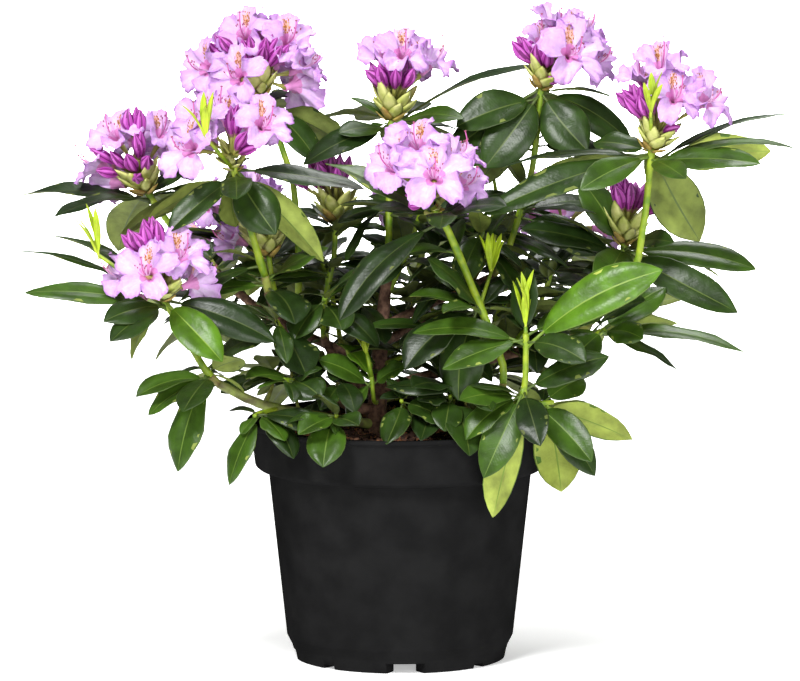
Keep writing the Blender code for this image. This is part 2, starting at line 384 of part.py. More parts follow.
def centimetres(values):
    return Vector(values) * CM


def limb_curves():
    """The middle line and radii of every woody limb, by name."""
    curves = {}
    for limb in LIMBS:
        points = [centimetres(p) for p in limb.path]
        if limb.carrier:
            points.insert(0, along(curves[limb.carrier][0], limb.at)[0])
        curves[limb.name] = (smooth_path(points, LIMB_STEPS), limb.foot * CM, limb.tip * CM)
    return curves


def shoot_curve(shoot, limbs):
    foot = along(limbs[shoot.carrier][0], shoot.at)[0]
    return smooth_path([foot] + [centimetres(p) for p in shoot.path], STEM_STEPS)


def leaf_frame(leaf):
    """A blade's chord, the direction its upper face looks in, and its sideways direction."""
    chord = leaf.tip - leaf.root
    ahead = chord.normalized()
    face = UP - ahead * ahead.z
    if face.length < 0.1:
        face = FRONT - ahead * ahead.dot(FRONT)
    face.normalize()
    side = ahead.cross(face)
    turn = math.radians(leaf.roll) * (1 if side.y < 0 else -1)
    face = face * math.cos(turn) + side * math.sin(turn)
    return chord, face, ahead.cross(face)


def leaf_point(leaf, chord, face, share):
    arch = leaf.bow * chord.length * 4 * share * (1 - share)
    return leaf.root + chord * share + face * arch


def outward(vertices, faces):
    """The same closed solid with its faces turned to point out."""
    volume = sum(vertices[f[0]].dot(vertices[a].cross(vertices[b]))
                 for f in faces for a, b in zip(f[1:], f[2:]))
    if volume < 0:
        faces = [tuple(reversed(f)) for f in faces]
    return vertices, faces


def leaf_solid(leaf, margin=0.0):
    """A closed blade: a root, a triangular section at each station, and a tip."""
    chord, face, side = leaf_frame(leaf)
    spare = chord.normalized() * margin
    vertices = [leaf.root - spare]
    for share, width in leaf.stations:
        middle = leaf_point(leaf, chord, face, share)
        half = side * (leaf.width * 0.5 * width + margin)
        vertices += [middle - half - face * margin, middle + half - face * margin,
                     middle + face * (RIDGE * chord.length + margin)]
    end = len(vertices)
    vertices.append(leaf.tip + spare)
    faces = []
    for k in range(3):
        a, b = 1 + k, 1 + (k + 1) % 3
        faces += [(0, b, a), (end, end - 3 + k, end - 3 + (k + 1) % 3)]
        for step in range(3, end - 1, 3):
            faces += [(a, b, b + step), (a, b + step, a + step)]
    return outward(vertices, faces)


def tube_solid(curve, foot, tip, sides, margin=0.0, flare=0.0):
    """A closed tapering tube round a curve, with flat ends."""
    points = [p.copy() for p in curve]
    points[0] -= (points[1] - points[0]).normalized() * margin
    points[-1] += (points[-1] - points[-2]).normalized() * margin
    vertices = []
    across = None
    for i, point in enumerate(points):
        ahead = (points[min(i + 1, len(points) - 1)] - points[max(i - 1, 0)]).normalized()
        if flare and i == 0:
            ahead = UP.copy()
        across = across or (FRONT if abs(ahead.dot(FRONT)) < 0.8 else UP)
        across = (across - ahead * across.dot(ahead)).normalized()
        other = ahead.cross(across)
        share = i / (len(points) - 1)
        radius = foot + (tip - foot) * share + margin + foot * flare * math.exp(-14 * share)
        for k in range(sides):
            turn = 2 * math.pi * k / sides
            vertices.append(point + (across * math.cos(turn) + other * math.sin(turn)) * radius)
    faces = [tuple(range(sides)), tuple(range(len(vertices) - sides, len(vertices)))[::-1]]
    for i in range(len(points) - 1):
        for k in range(sides):
            a, b = i * sides + k, i * sides + (k + 1) % sides
            faces.append((a, a + sides, b + sides, b))
    return outward(vertices, faces)


def spindle_solid(root, tip, radius, waist, sides):
    """A closed bud shape: a point at each end and one ring between."""
    axis = (tip - root).normalized()
    across = axis.orthogonal().normalized()
    other = axis.cross(across)
    middle = root.lerp(tip, waist)
    vertices = [root.copy(), tip.copy()]
    for k in range(sides):
        turn = 2 * math.pi * k / sides
        vertices.append(middle + (across * math.cos(turn) + other * math.sin(turn)) * radius)
    faces = []
    for k in range(sides):
        a, b = 2 + k, 2 + (k + 1) % sides
        faces += [(0, b, a), (1, a, b)]
    return outward(vertices, faces)


def floret_solid(floret):
    """A closed five-lobed trumpet on its stalk."""
    facing = floret.facing
    raised = (UP - facing * facing.z)
    raised = raised.normalized() if raised.length > 0.1 else facing.orthogonal().normalized()
    across = facing.cross(raised)
    size = floret.size
    vertices = []
    for k in range(10):
        turn = 2 * math.pi * k / 10
        radius = size * (1.0 if k % 2 == 0 else NOTCH_SHARE)
        forward = facing * size * (-0.10 if k % 2 == 0 else 0.0)
        vertices.append(floret.place + (raised * math.cos(turn) + across * math.sin(turn)) * radius + forward)
    throat = len(vertices)
    vertices.append(floret.place - facing * THROAT_DEPTH)
    for k in range(3):
        turn = 2 * math.pi * (k + 0.5) / 3
        vertices.append(floret.place - facing * TUBE_LENGTH
                        + (raised * math.cos(turn) + across * math.sin(turn)) * TUBE_RADIUS)
    vertices.append(floret.root.copy())
    faces = []
    for k in range(10):
        after = (k + 1) % 10
        here, there = throat + 1 + k * 3 // 10, throat + 1 + after * 3 // 10
        faces += [(k, after, throat), (after, k, here)]
        if here != there:
            faces.append((after, here, there))
    for k in range(3):
        faces.append((throat + 1 + k, throat + 4, throat + 1 + (k + 1) % 3))
    return outward(vertices, faces)


def head_florets(shoot, top):
    """A head's open flowers, and those that the golden angle spreads over it."""
    head = shoot.head
    chance = random.Random(shoot.name)
    axis = Vector(head.lean).normalized()
    florets = []
    for right, back, up, turn, size in head.opens:
        arm = centimetres((right, back, up))
        facing = (arm.normalized() + FRONT * turn).normalized()
        root = heart_root(top, axis, arm.normalized())
        florets.append(Floret("open", root, top + arm, facing, FLORET_RADIUS * size))
    across = axis.orthogonal().normalized()
    other = axis.cross(across)
    for k in range(head.spots):
        rise = 1 - (k + 0.4) / head.spots * 1.05
        turn = k * GOLDEN_ANGLE + chance.uniform(-0.2, 0.2)
        ring = math.sqrt(max(0.0, 1 - rise * rise))
        outwards = (axis * rise + (across * math.cos(turn) + other * math.sin(turn)) * ring).normalized()
        place = top + axis * HEART_RISE + outwards * HEAD_RADIUS * chance.uniform(0.92, 1.05)
        kind = "bud" if k in SHUT_SPOTS else "open"
        size = BUD_RADIUS if k in SHUT_SPOTS else FLORET_RADIUS * chance.uniform(0.94, 1.06)
        florets.append(Floret(kind, heart_root(top, axis, outwards), place, outwards, size))
    return florets


def bunch_buds(shoot, bunch, top):
    """The buds of one bunch, their tips spread round its middle by the golden angle."""
    axis = Vector(shoot.head.lean).normalized()
    middle = centimetres(bunch[:3])
    count, spread = bunch[3:]
    chance = random.Random(f"{shoot.name} {bunch}")
    ahead = middle.normalized()
    across = ahead.orthogonal().normalized()
    buds = []
    for k in range(count):
        share = math.sqrt((k + 0.3) / count)
        turn = k * GOLDEN_ANGLE
        beside = across * math.cos(turn) + ahead.cross(across) * math.sin(turn)
        arm = middle + (beside - ahead * share * BUNCH_DOME) * share * spread * CM
        size = BUD_RADIUS * chance.uniform(0.9, 1.15)
        root = heart_root(top, axis, arm.normalized())
        buds.append(Floret("bud", root, top + arm, arm.normalized(), size))
    return buds


def bunch_solid(shoot, bunch, top):
    """A whole bunch as one closed solid: a point at the heart, two rings, and a low point on top."""
    axis = Vector(shoot.head.lean).normalized()
    middle = centimetres(bunch[:3])
    ahead = middle.normalized()
    across = ahead.orthogonal().normalized()
    other = ahead.cross(across)
    radius = bunch[4] * CM * BUNCH_SHARE + BUD_RADIUS
    vertices = [heart_root(top, axis, ahead), top + middle]
    for share, wide in ((0.52, 0.7), (0.84, 1.0)):
        for k in range(BUNCH_SIDES):
            turn = 2 * math.pi * k / BUNCH_SIDES
            beside = across * math.cos(turn) + other * math.sin(turn)
            vertices.append(top + middle * share + beside * radius * wide)
    faces = []
    for k in range(BUNCH_SIDES):
        a, b = 2 + k, 2 + (k + 1) % BUNCH_SIDES
        faces += [(0, b, a), (a, b, b + BUNCH_SIDES, a + BUNCH_SIDES), (1, a + BUNCH_SIDES, b + BUNCH_SIDES)]
    return outward(vertices, faces)


def blossom_solids(shoot, florets, top):
    """The solids of a head's flowers, and of its bunches and single buds."""
    shapes = [floret_shape(floret) for floret in florets]
    for bunch in shoot.head.bunches:
        if bunch[3] >= WHOLE_BUNCH:
            shapes.append(bunch_solid(shoot, bunch, top))
        else:
            shapes += [floret_shape(bud) for bud in bunch_buds(shoot, bunch, top)]
    return shapes


def heart_root(top, axis, outwards):
    """Where a stalk leaves the head's scaly heart: just inside its skin, on the flower's own side."""
    return top + axis * STALK_RISE + outwards * STALK_SIDE


def floret_shape(floret):
    if floret.kind == "open":
        return floret_solid(floret)
    return spindle_solid(floret.root, floret.place, floret.size, BUD_WAIST, BUD_SIDES)


def turned(leaf, middle, degrees):
    """The leaf swung about the upright through its whorl, and raised by a tenth as much."""
    swing = math.radians(degrees)
    arm = leaf.tip - middle
    arm = Vector((arm.x * math.cos(swing) - arm.y * math.sin(swing),
                  arm.x * math.sin(swing) + arm.y * math.cos(swing),
                  arm.z + abs(swing) * TURN_RISE * arm.length))
    return leaf._replace(tip=middle + arm)


class Space:
    """Remembers the solids placed so far, so that a new leaf can be kept clear of them."""

    def __init__(self):
        self.items = []

    def add(self, owner, shape):
        vertices, faces = shape
        low = Vector(min(v[i] for v in vertices) for i in range(3))
        high = Vector(max(v[i] for v in vertices) for i in range(3))
        self.items.append((owner, low, high, BVHTree.FromPolygons(vertices, faces)))

    def free(self, owner, shape, everyone):
        """True where the shape crosses no solid of another owner, or of any owner at all."""
        vertices, faces = shape
        low = Vector(min(v[i] for v in vertices) for i in range(3))
        high = Vector(max(v[i] for v in vertices) for i in range(3))
        tree = BVHTree.FromPolygons(vertices, faces)
        for other, other_low, other_high, other_tree in self.items:
            if other == owner and not everyone:
                continue
            if any(low[i] > other_high[i] or high[i] < other_low[i] for i in range(3)):
                continue
            if tree.overlap(other_tree):
                return False
        return True


def blade_only(leaf):
    """The outer two thirds of a leaf, which shouldn't cross its own shoot's pieces either."""
    chord, face, _ = leaf_frame(leaf)
    return leaf._replace(root=leaf_point(leaf, chord, face, 0.3), bow=leaf.bow * 0.6)


def place_leaf(space, owner, leaf, middle, needed):
    """The leaf, or the first turn of it that is clear. One that is needed may cross its own shoot."""
    for everyone in ((True, False) if needed else (True,)):
        for degrees in TRIES:
            tried = turned(leaf, middle, degrees)
            if not all(space.free(owner, leaf_solid(tried, margin), False) for margin in (LEAF_MARGIN, 0.0)):
                continue
            if everyone and not space.free(owner, leaf_solid(blade_only(tried), LEAF_MARGIN), True):
                continue
            space.add(owner, leaf_solid(tried))
            return tried
    return None


def leaf_root(foot, ahead, tip, thick):
    """Where a leaf leaves the stem: inside the stem's skin, on the leaf's own side."""
    arm = tip - foot
    arm -= ahead * arm.dot(ahead)
    return foot + arm.normalized() * thick * CM * ROOT_DEPTH


def whorl_leaves(space, shoot, number, curve, aimed):
    """A whorl's leaves: the aimed ones first, and later those that a seeded rule adds."""
    whorl = shoot.whorls[number]
    middle = along(curve, whorl.at)[0]
    length = sum((b - a).length for a, b in zip(curve, curve[1:]))
    placed = []
    total = len(whorl.aims) + whorl.count
    for k in range(total):
        share = whorl.at + WHORL_DEPTH / length * ((k + 0.5) / total - 0.5)
        foot, ahead = along(curve, min(STEM_END, share))
        if k < len(whorl.aims):
            if not aimed:
                continue
            right, back, up, width, roll = whorl.aims[k]
            tip = middle + centimetres((right, back, up))
            root = leaf_root(foot, ahead, tip, shoot.thick)
            leaf = Leaf(root, tip, width * CM, roll, BOW, BLADE_STATIONS if number == 0 else PLAIN_STATIONS)
        else:
            if aimed:
                continue
            chance = random.Random(f"{shoot.name} {number} {k}")
            centre, half = whorl.fan
            step = (2 * (k - len(whorl.aims) + 0.5) / whorl.count - 1) * half
            turn = math.radians(centre + step + chance.uniform(-12, 12))
            pitch = math.radians(chance.uniform(-38, 16))
            reach = whorl.reach * CM * chance.uniform(0.8, 1.08)
            level = math.cos(pitch)
            arm = Vector((math.cos(turn) * level, math.sin(turn) * level, math.sin(pitch)))
            width = reach * SPREAD * chance.uniform(0.9, 1.15)
            tip = middle + arm * reach
            root = leaf_root(foot, ahead, tip, shoot.thick)
            leaf = Leaf(root, tip, width, chance.uniform(-25, 25), BOW, PLAIN_STATIONS)
        leaf = place_leaf(space, shoot.name, leaf, middle, k < len(whorl.aims))
        if leaf:
            placed.append(leaf)
    return placed


def young_leaves(shoot, curve):
    """The narrow upright leaves of new growth, and the short stems that carry them."""
    leaves, stems = [], []
    for at, offset, count, length in shoot.young:
        foot, ahead = along(curve, at)
        top = foot + centimetres(offset)
        stems.append((foot - ahead * 0.1 * CM, top))
        for k in range(count):
            turn = k * GOLDEN_ANGLE + 0.6
            lean = 0.30 + 0.10 * (k % 2)
            arm = Vector((math.cos(turn) * lean, math.sin(turn) * lean, 1.0))
            arm += (top - foot).normalized() * 0.5
            reach = length * CM * (1.0 - 0.08 * (k % 3))
            root = top - UP * 0.25 * CM * (k % 3 + 1) / 2
            leaves.append(Leaf(root, root + arm.normalized() * reach, YOUNG_WIDTH, 0, 0.05, PLAIN_STATIONS))
    return leaves, stems


def plan_shoots():
    """Every shoot's stem, leaves, young leaves and florets, in one shared space."""
    limbs = limb_curves()
    space = Space()
    plans = {}
    for name, (curve, foot, tip) in limbs.items():
        space.add(name, tube_solid(curve, foot, tip, LIMB_SIDES))
    space.add("pot", lathe_solid(pot_profile(), POT_STEPS))
    space.add("potting_mix", lathe_solid(soil_profile(), SOIL_STEPS))
    for shoot in SHOOTS:
        curve = shoot_curve(shoot, limbs)
        young, stems = young_leaves(shoot, curve)
        florets = head_florets(shoot, curve[-1]) if shoot.head else []
        space.add(shoot.name, tube_solid(curve, shoot.thick * CM, shoot.thick * CM * 0.9, STEM_SIDES))
        for leaf in young:
            space.add(shoot.name, leaf_solid(leaf))
        blossom = blossom_solids(shoot, florets, curve[-1]) if shoot.head else []
        for shape in blossom:
            space.add(shoot.name, shape)
        plans[shoot.name] = {"curve": curve, "young": young, "stems": stems, "florets": florets,
                             "blossom": blossom, "leaves": []}
    for aimed in (True, False):
        for shoot in SHOOTS:
            plan = plans[shoot.name]
            for number in range(len(shoot.whorls)):
                plan["leaves"] += whorl_leaves(space, shoot, number, plan["curve"], aimed)
    return limbs, plans


def pot_profile():
    """The pot's section, from the middle of its underside round the outside and back inside."""
    inner = WALL_THICKNESS
    return (
        (0.0, 0.0), (PAD_RADIUS, 0.0), (PAD_RADIUS + 2 * MM, FOOT_HEIGHT),
        (FOOT_RING_RADIUS, FOOT_HEIGHT), (FOOT_RING_RADIUS, 0.0), (BASE_RADIUS, 0.0),
        (BASE_RIDGE_RADIUS, BASE_RIDGE), (WALL_FOOT_RADIUS, WALL_FOOT),
        (WALL_TOP_RADIUS, BAND_FOOT - 2 * MM), (BAND_FOOT_RADIUS - 3 * MM, BAND_FOOT),
        (BAND_FOOT_RADIUS, BAND_FOOT + 2.5 * MM), (BAND_TOP_RADIUS, POT_HEIGHT - LIP_DEPTH - 1 * MM),
        (LIP_RADIUS, POT_HEIGHT - LIP_DEPTH), (LIP_RADIUS, POT_HEIGHT), (BAND_TOP_RADIUS - inner, POT_HEIGHT),
        (BAND_FOOT_RADIUS - inner, BAND_FOOT + 4 * MM), (WALL_TOP_RADIUS - inner, BAND_FOOT - 2 * MM),
        (WALL_FOOT_RADIUS - inner, WALL_FOOT), (BASE_RIDGE_RADIUS - 2 * inner, FOOT_HEIGHT + inner),
        (0.0, FOOT_HEIGHT + inner),
    )


def soil_profile():
    """The potting mix: the pot's inside, 0.3 mm clear of it, up to the top of the mix."""
    inner = WALL_THICKNESS + 1.3 * GAP
    band = BAND_FOOT_RADIUS - inner + (BAND_TOP_RADIUS - BAND_FOOT_RADIUS) * (
        (SOIL_TOP - BAND_FOOT) / (POT_HEIGHT - BAND_FOOT))
    rings = tuple((band * share, SOIL_TOP) for share in SOIL_RINGS)
    return (
        (0.0, FOOT_HEIGHT + inner), (BASE_RIDGE_RADIUS - 2 * inner, FOOT_HEIGHT + inner),
        (WALL_FOOT_RADIUS - inner, WALL_FOOT + GAP), (WALL_TOP_RADIUS - inner, BAND_FOOT - 2 * MM + GAP),
        (BAND_FOOT_RADIUS - inner, BAND_FOOT + 4 * MM + 2 * GAP), (band, SOIL_TOP - 1 * MM),
    ) + rings + ((0.0, SOIL_TOP),)


def lathe_solid(profile, steps):
    """A closed solid turned about the Z axis from a profile that starts and ends on the axis."""
    vertices = [Vector((0.0, 0.0, profile[0][1])), Vector((0.0, 0.0, profile[-1][1]))]
    rings = profile[1:-1]
    for radius, height in rings:
        for k in range(steps):
            turn = 2 * math.pi * k / steps
            vertices.append(Vector((radius * math.cos(turn), radius * math.sin(turn), height)))
    faces = []
    for k in range(steps):
        after = (k + 1) % steps
        faces.append((0, 2 + after, 2 + k))
        last = 2 + (len(rings) - 1) * steps
        faces.append((1, last + k, last + after))
        for ring in range(len(rings) - 1):
            a, b = 2 + ring * steps + k, 2 + ring * steps + after
            faces.append((a, b, b + steps, a + steps))
    return outward(vertices, faces)


def principled(name, colour, roughness):
    material = bpy.data.materials.new(name)
    material.use_nodes = True
    shader = material.node_tree.nodes["Principled BSDF"]
    shader.inputs["Base Color"].default_value = (*colour, 1.0)
    shader.inputs["Roughness"].default_value = roughness
    shader.inputs["Metallic"].default_value = 0.0
    return material


def new_object(name, shape, material=None):
    mesh = bpy.data.meshes.new(name)
    mesh.from_pydata([tuple(v) for v in shape[0]], [], shape[1])
    if material:
        mesh.materials.append(material)
    made = bpy.data.objects.new(name, mesh)
    bpy.context.scene.collection.objects.link(made)
    return made


def boolean(target, cutters, operation, solver):
    """One Boolean of the target with a collection of solids, applied, and the solids removed."""
    group = bpy.data.collections.new("operands")
    bpy.context.scene.collection.children.link(group)
    for cutter in cutters:
        bpy.context.scene.collection.objects.unlink(cutter)
        group.objects.link(cutter)
    step = target.modifiers.new("join", "BOOLEAN")
    step.operation = operation
    step.operand_type = "COLLECTION"
    step.collection = group
    step.solver = solver
    bpy.context.view_layer.update()
    evaluated = target.evaluated_get(bpy.context.evaluated_depsgraph_get())
    mesh = bpy.data.meshes.new_from_object(evaluated)
    target.modifiers.remove(step)
    target.data = mesh
    for cutter in cutters:
        bpy.data.objects.remove(cutter)
    bpy.data.collections.remove(group)


def keep_largest(target):
    """Drop loose scraps and the walls of sealed hollows, and triangulate."""
    shape = bmesh.new()
    shape.from_mesh(target.data)
    bmesh.ops.triangulate(shape, faces=shape.faces[:])
    seen = set()
    islands = []
    for start in shape.verts:
        if start in seen:
            continue
        island, queue = [], [start]
        seen.add(start)
        while queue:
            vertex = queue.pop()
            island.append(vertex)
            for edge in vertex.link_edges:
                other = edge.other_vert(vertex)
                if other not in seen:
                    seen.add(other)
                    queue.append(other)
        islands.append(island)
    islands.sort(key=len)
    for island in islands[:-1]:
        bmesh.ops.delete(shape, geom=island, context="VERTS")
    shape.to_mesh(target.data)
    shape.free()


def is_closed(target):
    shape = bmesh.new()
    shape.from_mesh(target.data)
    closed = bool(shape.faces) and all(edge.is_manifold for edge in shape.edges)
    shape.free()
    return closed


def finish(target, material, angle):
    target.data.materials.clear()
    target.data.materials.append(material)
    target.data.shade_smooth()
    target.data.set_sharp_from_angle(angle=math.radians(angle))


def make_pot(material):
    """The turned pot, with wide notches on four sides of its base and small steps between them."""
    pot = new_object("pot", lathe_solid(pot_profile(), POT_STEPS))
    cutters = []
    for k in range(8):
        turn = math.radians(45 * k - 87)
        across = Vector((-math.sin(turn), math.cos(turn), 0.0))
        ahead = Vector((math.cos(turn), math.sin(turn), 0.0))
        wide = k % 2 == 0
        outer = (NOTCH_WIDTH if wide else STEP_WIDTH) / 2
        inner = (NOTCH_INNER_WIDTH if wide else STEP_WIDTH) / 2
        top = FOOT_HEIGHT - 0.5 * MM if wide else STEP_HEIGHT
        near, far = FOOT_RING_RADIUS - 4 * MM, BASE_RIDGE_RADIUS + 6 * MM
        corners = [ahead * near - across * inner, ahead * far - across * outer,
                   ahead * far + across * outer, ahead * near + across * inner]
        vertices = [c - UP * 5 * MM for c in corners] + [c + UP * top for c in corners]
        faces = [(0, 1, 2, 3), (4, 7, 6, 5), (0, 4, 5, 1), (1, 5, 6, 2), (2, 6, 7, 3), (3, 7, 4, 0)]
        cutters.append(new_object("notch", outward(vertices, faces)))
    boolean(pot, cutters, "DIFFERENCE", "EXACT")
    keep_largest(pot)
    finish(pot, material, 40)


def make_potting_mix(material):
    """The mix, with a gently uneven top that stays level under the main stem."""
    mix = new_object("potting_mix", lathe_solid(soil_profile(), SOIL_STEPS))
    chance = random.Random("potting mix")
    foot = centimetres(LIMBS[0].path[0])
    for vertex in mix.data.vertices:
        if abs(vertex.co.z - SOIL_TOP) < 0.1 * MM:
            away = math.hypot(vertex.co.x - foot.x, vertex.co.y - foot.y)
            bump = chance.uniform(-1.0, 1.0) * SOIL_BUMP
            if away < STEM_CLEARING:
                bump = -abs(bump) * max(0.0, away / STEM_CLEARING - 0.5)
            vertex.co.z += bump
    keep_largest(mix)
    finish(mix, material, 60)


def make_limb(limb, limbs, material):
    """One woody limb, cut 0.3 mm clear of the limb that carries it."""
    curve, foot, tip = limbs[limb.name]
    flare = 0.0 if limb.carrier else ROOT_FLARE
    made = new_object(limb.name, tube_solid(curve, foot, tip, LIMB_SIDES, flare=flare))
    if limb.carrier:
        cut_by_carrier(made, limb.carrier, limbs)
    keep_largest(made)
    finish(made, material, 50)


def cut_by_carrier(made, carrier, limbs):
    curve, foot, tip = limbs[carrier]
    flare = ROOT_FLARE if carrier == LIMBS[0].name else 0.0
    cutter = new_object("cutter", tube_solid(curve, foot, tip, LIMB_SIDES, margin=GAP, flare=flare))
    boolean(made, [cutter], "DIFFERENCE", "EXACT")


def make_shoot(shoot, limbs, plan, material):
    """One shoot as a single solid: stem, leaves, new growth and blossom."""
    curve = plan["curve"]
    radius = shoot.thick * CM
    made = new_object(shoot.name, tube_solid(curve, radius, radius * 0.9, STEM_SIDES))
    cut_by_carrier(made, shoot.carrier, limbs)
    keep_largest(made)
    stem = made.data.copy()
    for solver in ("EXACT", "MANIFOLD"):
        pieces = [leaf_solid(leaf) for leaf in plan["leaves"] + plan["young"]]
        pieces += plan["blossom"]
        pieces += [tube_solid([a, a.lerp(b, 0.5), b], YOUNG_STEM_FOOT, YOUNG_STEM_TIP, 3)
                   for a, b in plan["stems"]]
        if shoot.head:
            axis = Vector(shoot.head.lean).normalized()
            top = curve[-1]
            pieces.append(spindle_solid(top - axis * BRACT_FOOT, top + axis * BRACT_TOP, BRACT_RADIUS,
                                        BRACT_WAIST, BRACT_SIDES))
        boolean(made, [new_object("piece", piece) for piece in pieces], "UNION", solver)
        keep_largest(made)
        if is_closed(made):
            break
        made.data = stem.copy()
    finish(made, material, 30)


def main():
    for old in list(bpy.data.objects):
        bpy.data.objects.remove(old)
    black_plastic = principled("black_plastic", (0.012, 0.012, 0.013), 0.45)
    peat = principled("peat_and_bark", (0.055, 0.022, 0.012), 0.95)
    bark = principled("bark", (0.12, 0.055, 0.03), 0.8)
    foliage = principled("foliage", (0.04, 0.11, 0.03), 0.4)
    blossom = principled("blossom", (0.55, 0.28, 0.68), 0.5)
    limbs, plans = plan_shoots()
    make_pot(black_plastic)
    make_potting_mix(peat)
    for limb in LIMBS:
        make_limb(limb, limbs, bark)
    for shoot in SHOOTS:
        make_shoot(shoot, limbs, plans[shoot.name], blossom if shoot.head else foliage)


main()
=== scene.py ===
# Potted rhododendron: the looks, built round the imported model.
# Metres, +Z up, in the frame of the solids: the origin is under the middle of the pot, and -Y is the front.
import math
import random
from collections import namedtuple

import bmesh
import bpy
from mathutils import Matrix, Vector, noise
from mathutils.bvhtree import BVHTree


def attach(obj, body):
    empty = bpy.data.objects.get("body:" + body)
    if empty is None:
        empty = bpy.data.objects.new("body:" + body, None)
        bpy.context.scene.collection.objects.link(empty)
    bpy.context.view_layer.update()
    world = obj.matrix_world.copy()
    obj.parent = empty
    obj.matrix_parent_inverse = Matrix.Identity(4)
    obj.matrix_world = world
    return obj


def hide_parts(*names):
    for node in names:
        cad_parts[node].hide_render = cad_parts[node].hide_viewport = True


CM = 0.01
MM = 0.001
GAP = 0.3 * MM                  # clearance between two solids that touch
UP = Vector((0.0, 0.0, 1.0))
FRONT = Vector((0.0, -1.0, 0.0))

# Pot: a moulded nursery pot with a deep rim band and feet round its base
POT_HEIGHT = 204 * MM
LIP_RADIUS = 130 * MM
LIP_DEPTH = 3.5 * MM
BAND_TOP_RADIUS = 127.3 * MM
BAND_FOOT_RADIUS = 123 * MM
BAND_FOOT = 163 * MM            # height of the band's lower edge
WALL_TOP_RADIUS = 111.7 * MM
WALL_FOOT_RADIUS = 96.3 * MM
WALL_FOOT = 20 * MM
BASE_RIDGE_RADIUS = 91.7 * MM
BASE_RIDGE = 11 * MM
BASE_RADIUS = 89.4 * MM
WALL_THICKNESS = 2.5 * MM
FOOT_RING_RADIUS = 77 * MM      # inner radius of the ring of feet
FOOT_HEIGHT = 9 * MM
PAD_RADIUS = 22 * MM            # flat moulding pad in the middle of the underside
POT_STEPS = 24
NOTCH_WIDTH = 42 * MM
NOTCH_INNER_WIDTH = 15 * MM
STEP_WIDTH = 12 * MM
STEP_HEIGHT = 3.5 * MM

# Potting mix
SOIL_TOP = 193 * MM
SOIL_STEPS = 12
SOIL_RINGS = (0.78, 0.52, 0.26)
SOIL_BUMP = 2.5 * MM
STEM_CLEARING = 60 * MM         # the mix only dips this near the stem's foot

# Limbs and leaves
LIMB_SIDES = 6
LIMB_STEPS = 3                  # stretches of a limb's curve between two of its points
STEM_SIDES = 4
STEM_STEPS = 2
ROOT_FLARE = 0.4                # share by which the foot of the main stem widens
WHORL_DEPTH = 1.3 * CM          # a whorl's leaves leave the stem over this length
STEM_END = 0.985                # no leaf leaves a stem past this share of its length
ROOT_DEPTH = 0.5                # how far out a leaf starts, over the stem's radius
GOLDEN_ANGLE = math.radians(137.5)
BLADE_STATIONS = ((0.40, 0.94), (0.74, 0.80))   # share of length, share of half width
PLAIN_STATIONS = ((0.54, 1.0),)                 # the same for a leaf that only fills the crown
RIDGE = 0.014                   # height of a blade's ridge over its length
BOW = 0.07                      # arch of a blade over its length
SPREAD = 0.33                   # width of a blade over its length
YOUNG_WIDTH = 0.85 * CM
YOUNG_STEM_FOOT = 0.15 * CM
YOUNG_STEM_TIP = 0.12 * CM
LEAF_MARGIN = 0.5 * MM          # clearance kept round a leaf when it is tested
TRIES = (0, 9, -9, 18, -18, 28, -28)            # turns in degrees tried for a leaf that touches
TURN_RISE = 0.1                 # rise of a turned leaf's tip over the arc it swings through

# Blossom
FLORET_RADIUS = 1.85 * CM
THROAT_DEPTH = 1.3 * CM
TUBE_LENGTH = 2.4 * CM
TUBE_RADIUS = 0.32 * CM
NOTCH_SHARE = 0.64              # radius between two lobes over the radius at a lobe
BUD_RADIUS = 0.5 * CM
BUNCH_DOME = 0.35               # how far a bunch's outer buds fall back, over its spread
BUNCH_SHARE = 0.7               # radius of a bunch's solid over its spread
BUNCH_SIDES = 6
WHOLE_BUNCH = 3                 # from this number of buds a bunch is one solid
HEAD_RADIUS = 4.6 * CM
HEART_RISE = 1.6 * CM           # height of a head's middle over its stem's top
SHUT_SPOTS = (0, 1)             # the spots of a head that are still in bud
STALK_RISE = 0.95 * CM          # height over the stem's top at which stalks leave a head's heart
STALK_SIDE = 0.45 * CM          # how far out from the heart's middle they leave it
BRACT_RADIUS = 0.95 * CM
BRACT_FOOT = 0.4 * CM           # depth of the scaly heart's foot under the stem's top
BRACT_TOP = 2.9 * CM
BRACT_WAIST = 0.4               # share of the heart's length at which it is widest
BRACT_SIDES = 5
BUD_WAIST = 0.66
BUD_SIDES = 4

Limb = namedtuple("Limb", "name carrier at path foot tip")
Shoot = namedtuple("Shoot", "name carrier at path thick whorls head young")
Whorl = namedtuple("Whorl", "at count reach fan aims")
Head = namedtuple("Head", "lean opens bunches spots")
Leaf = namedtuple("Leaf", "root tip width roll bow stations")
Floret = namedtuple("Floret", "kind root place facing size")

BACK = (90, 75)                 # fan of leaf directions: middle and half width in degrees
ROUND = (90, 180)

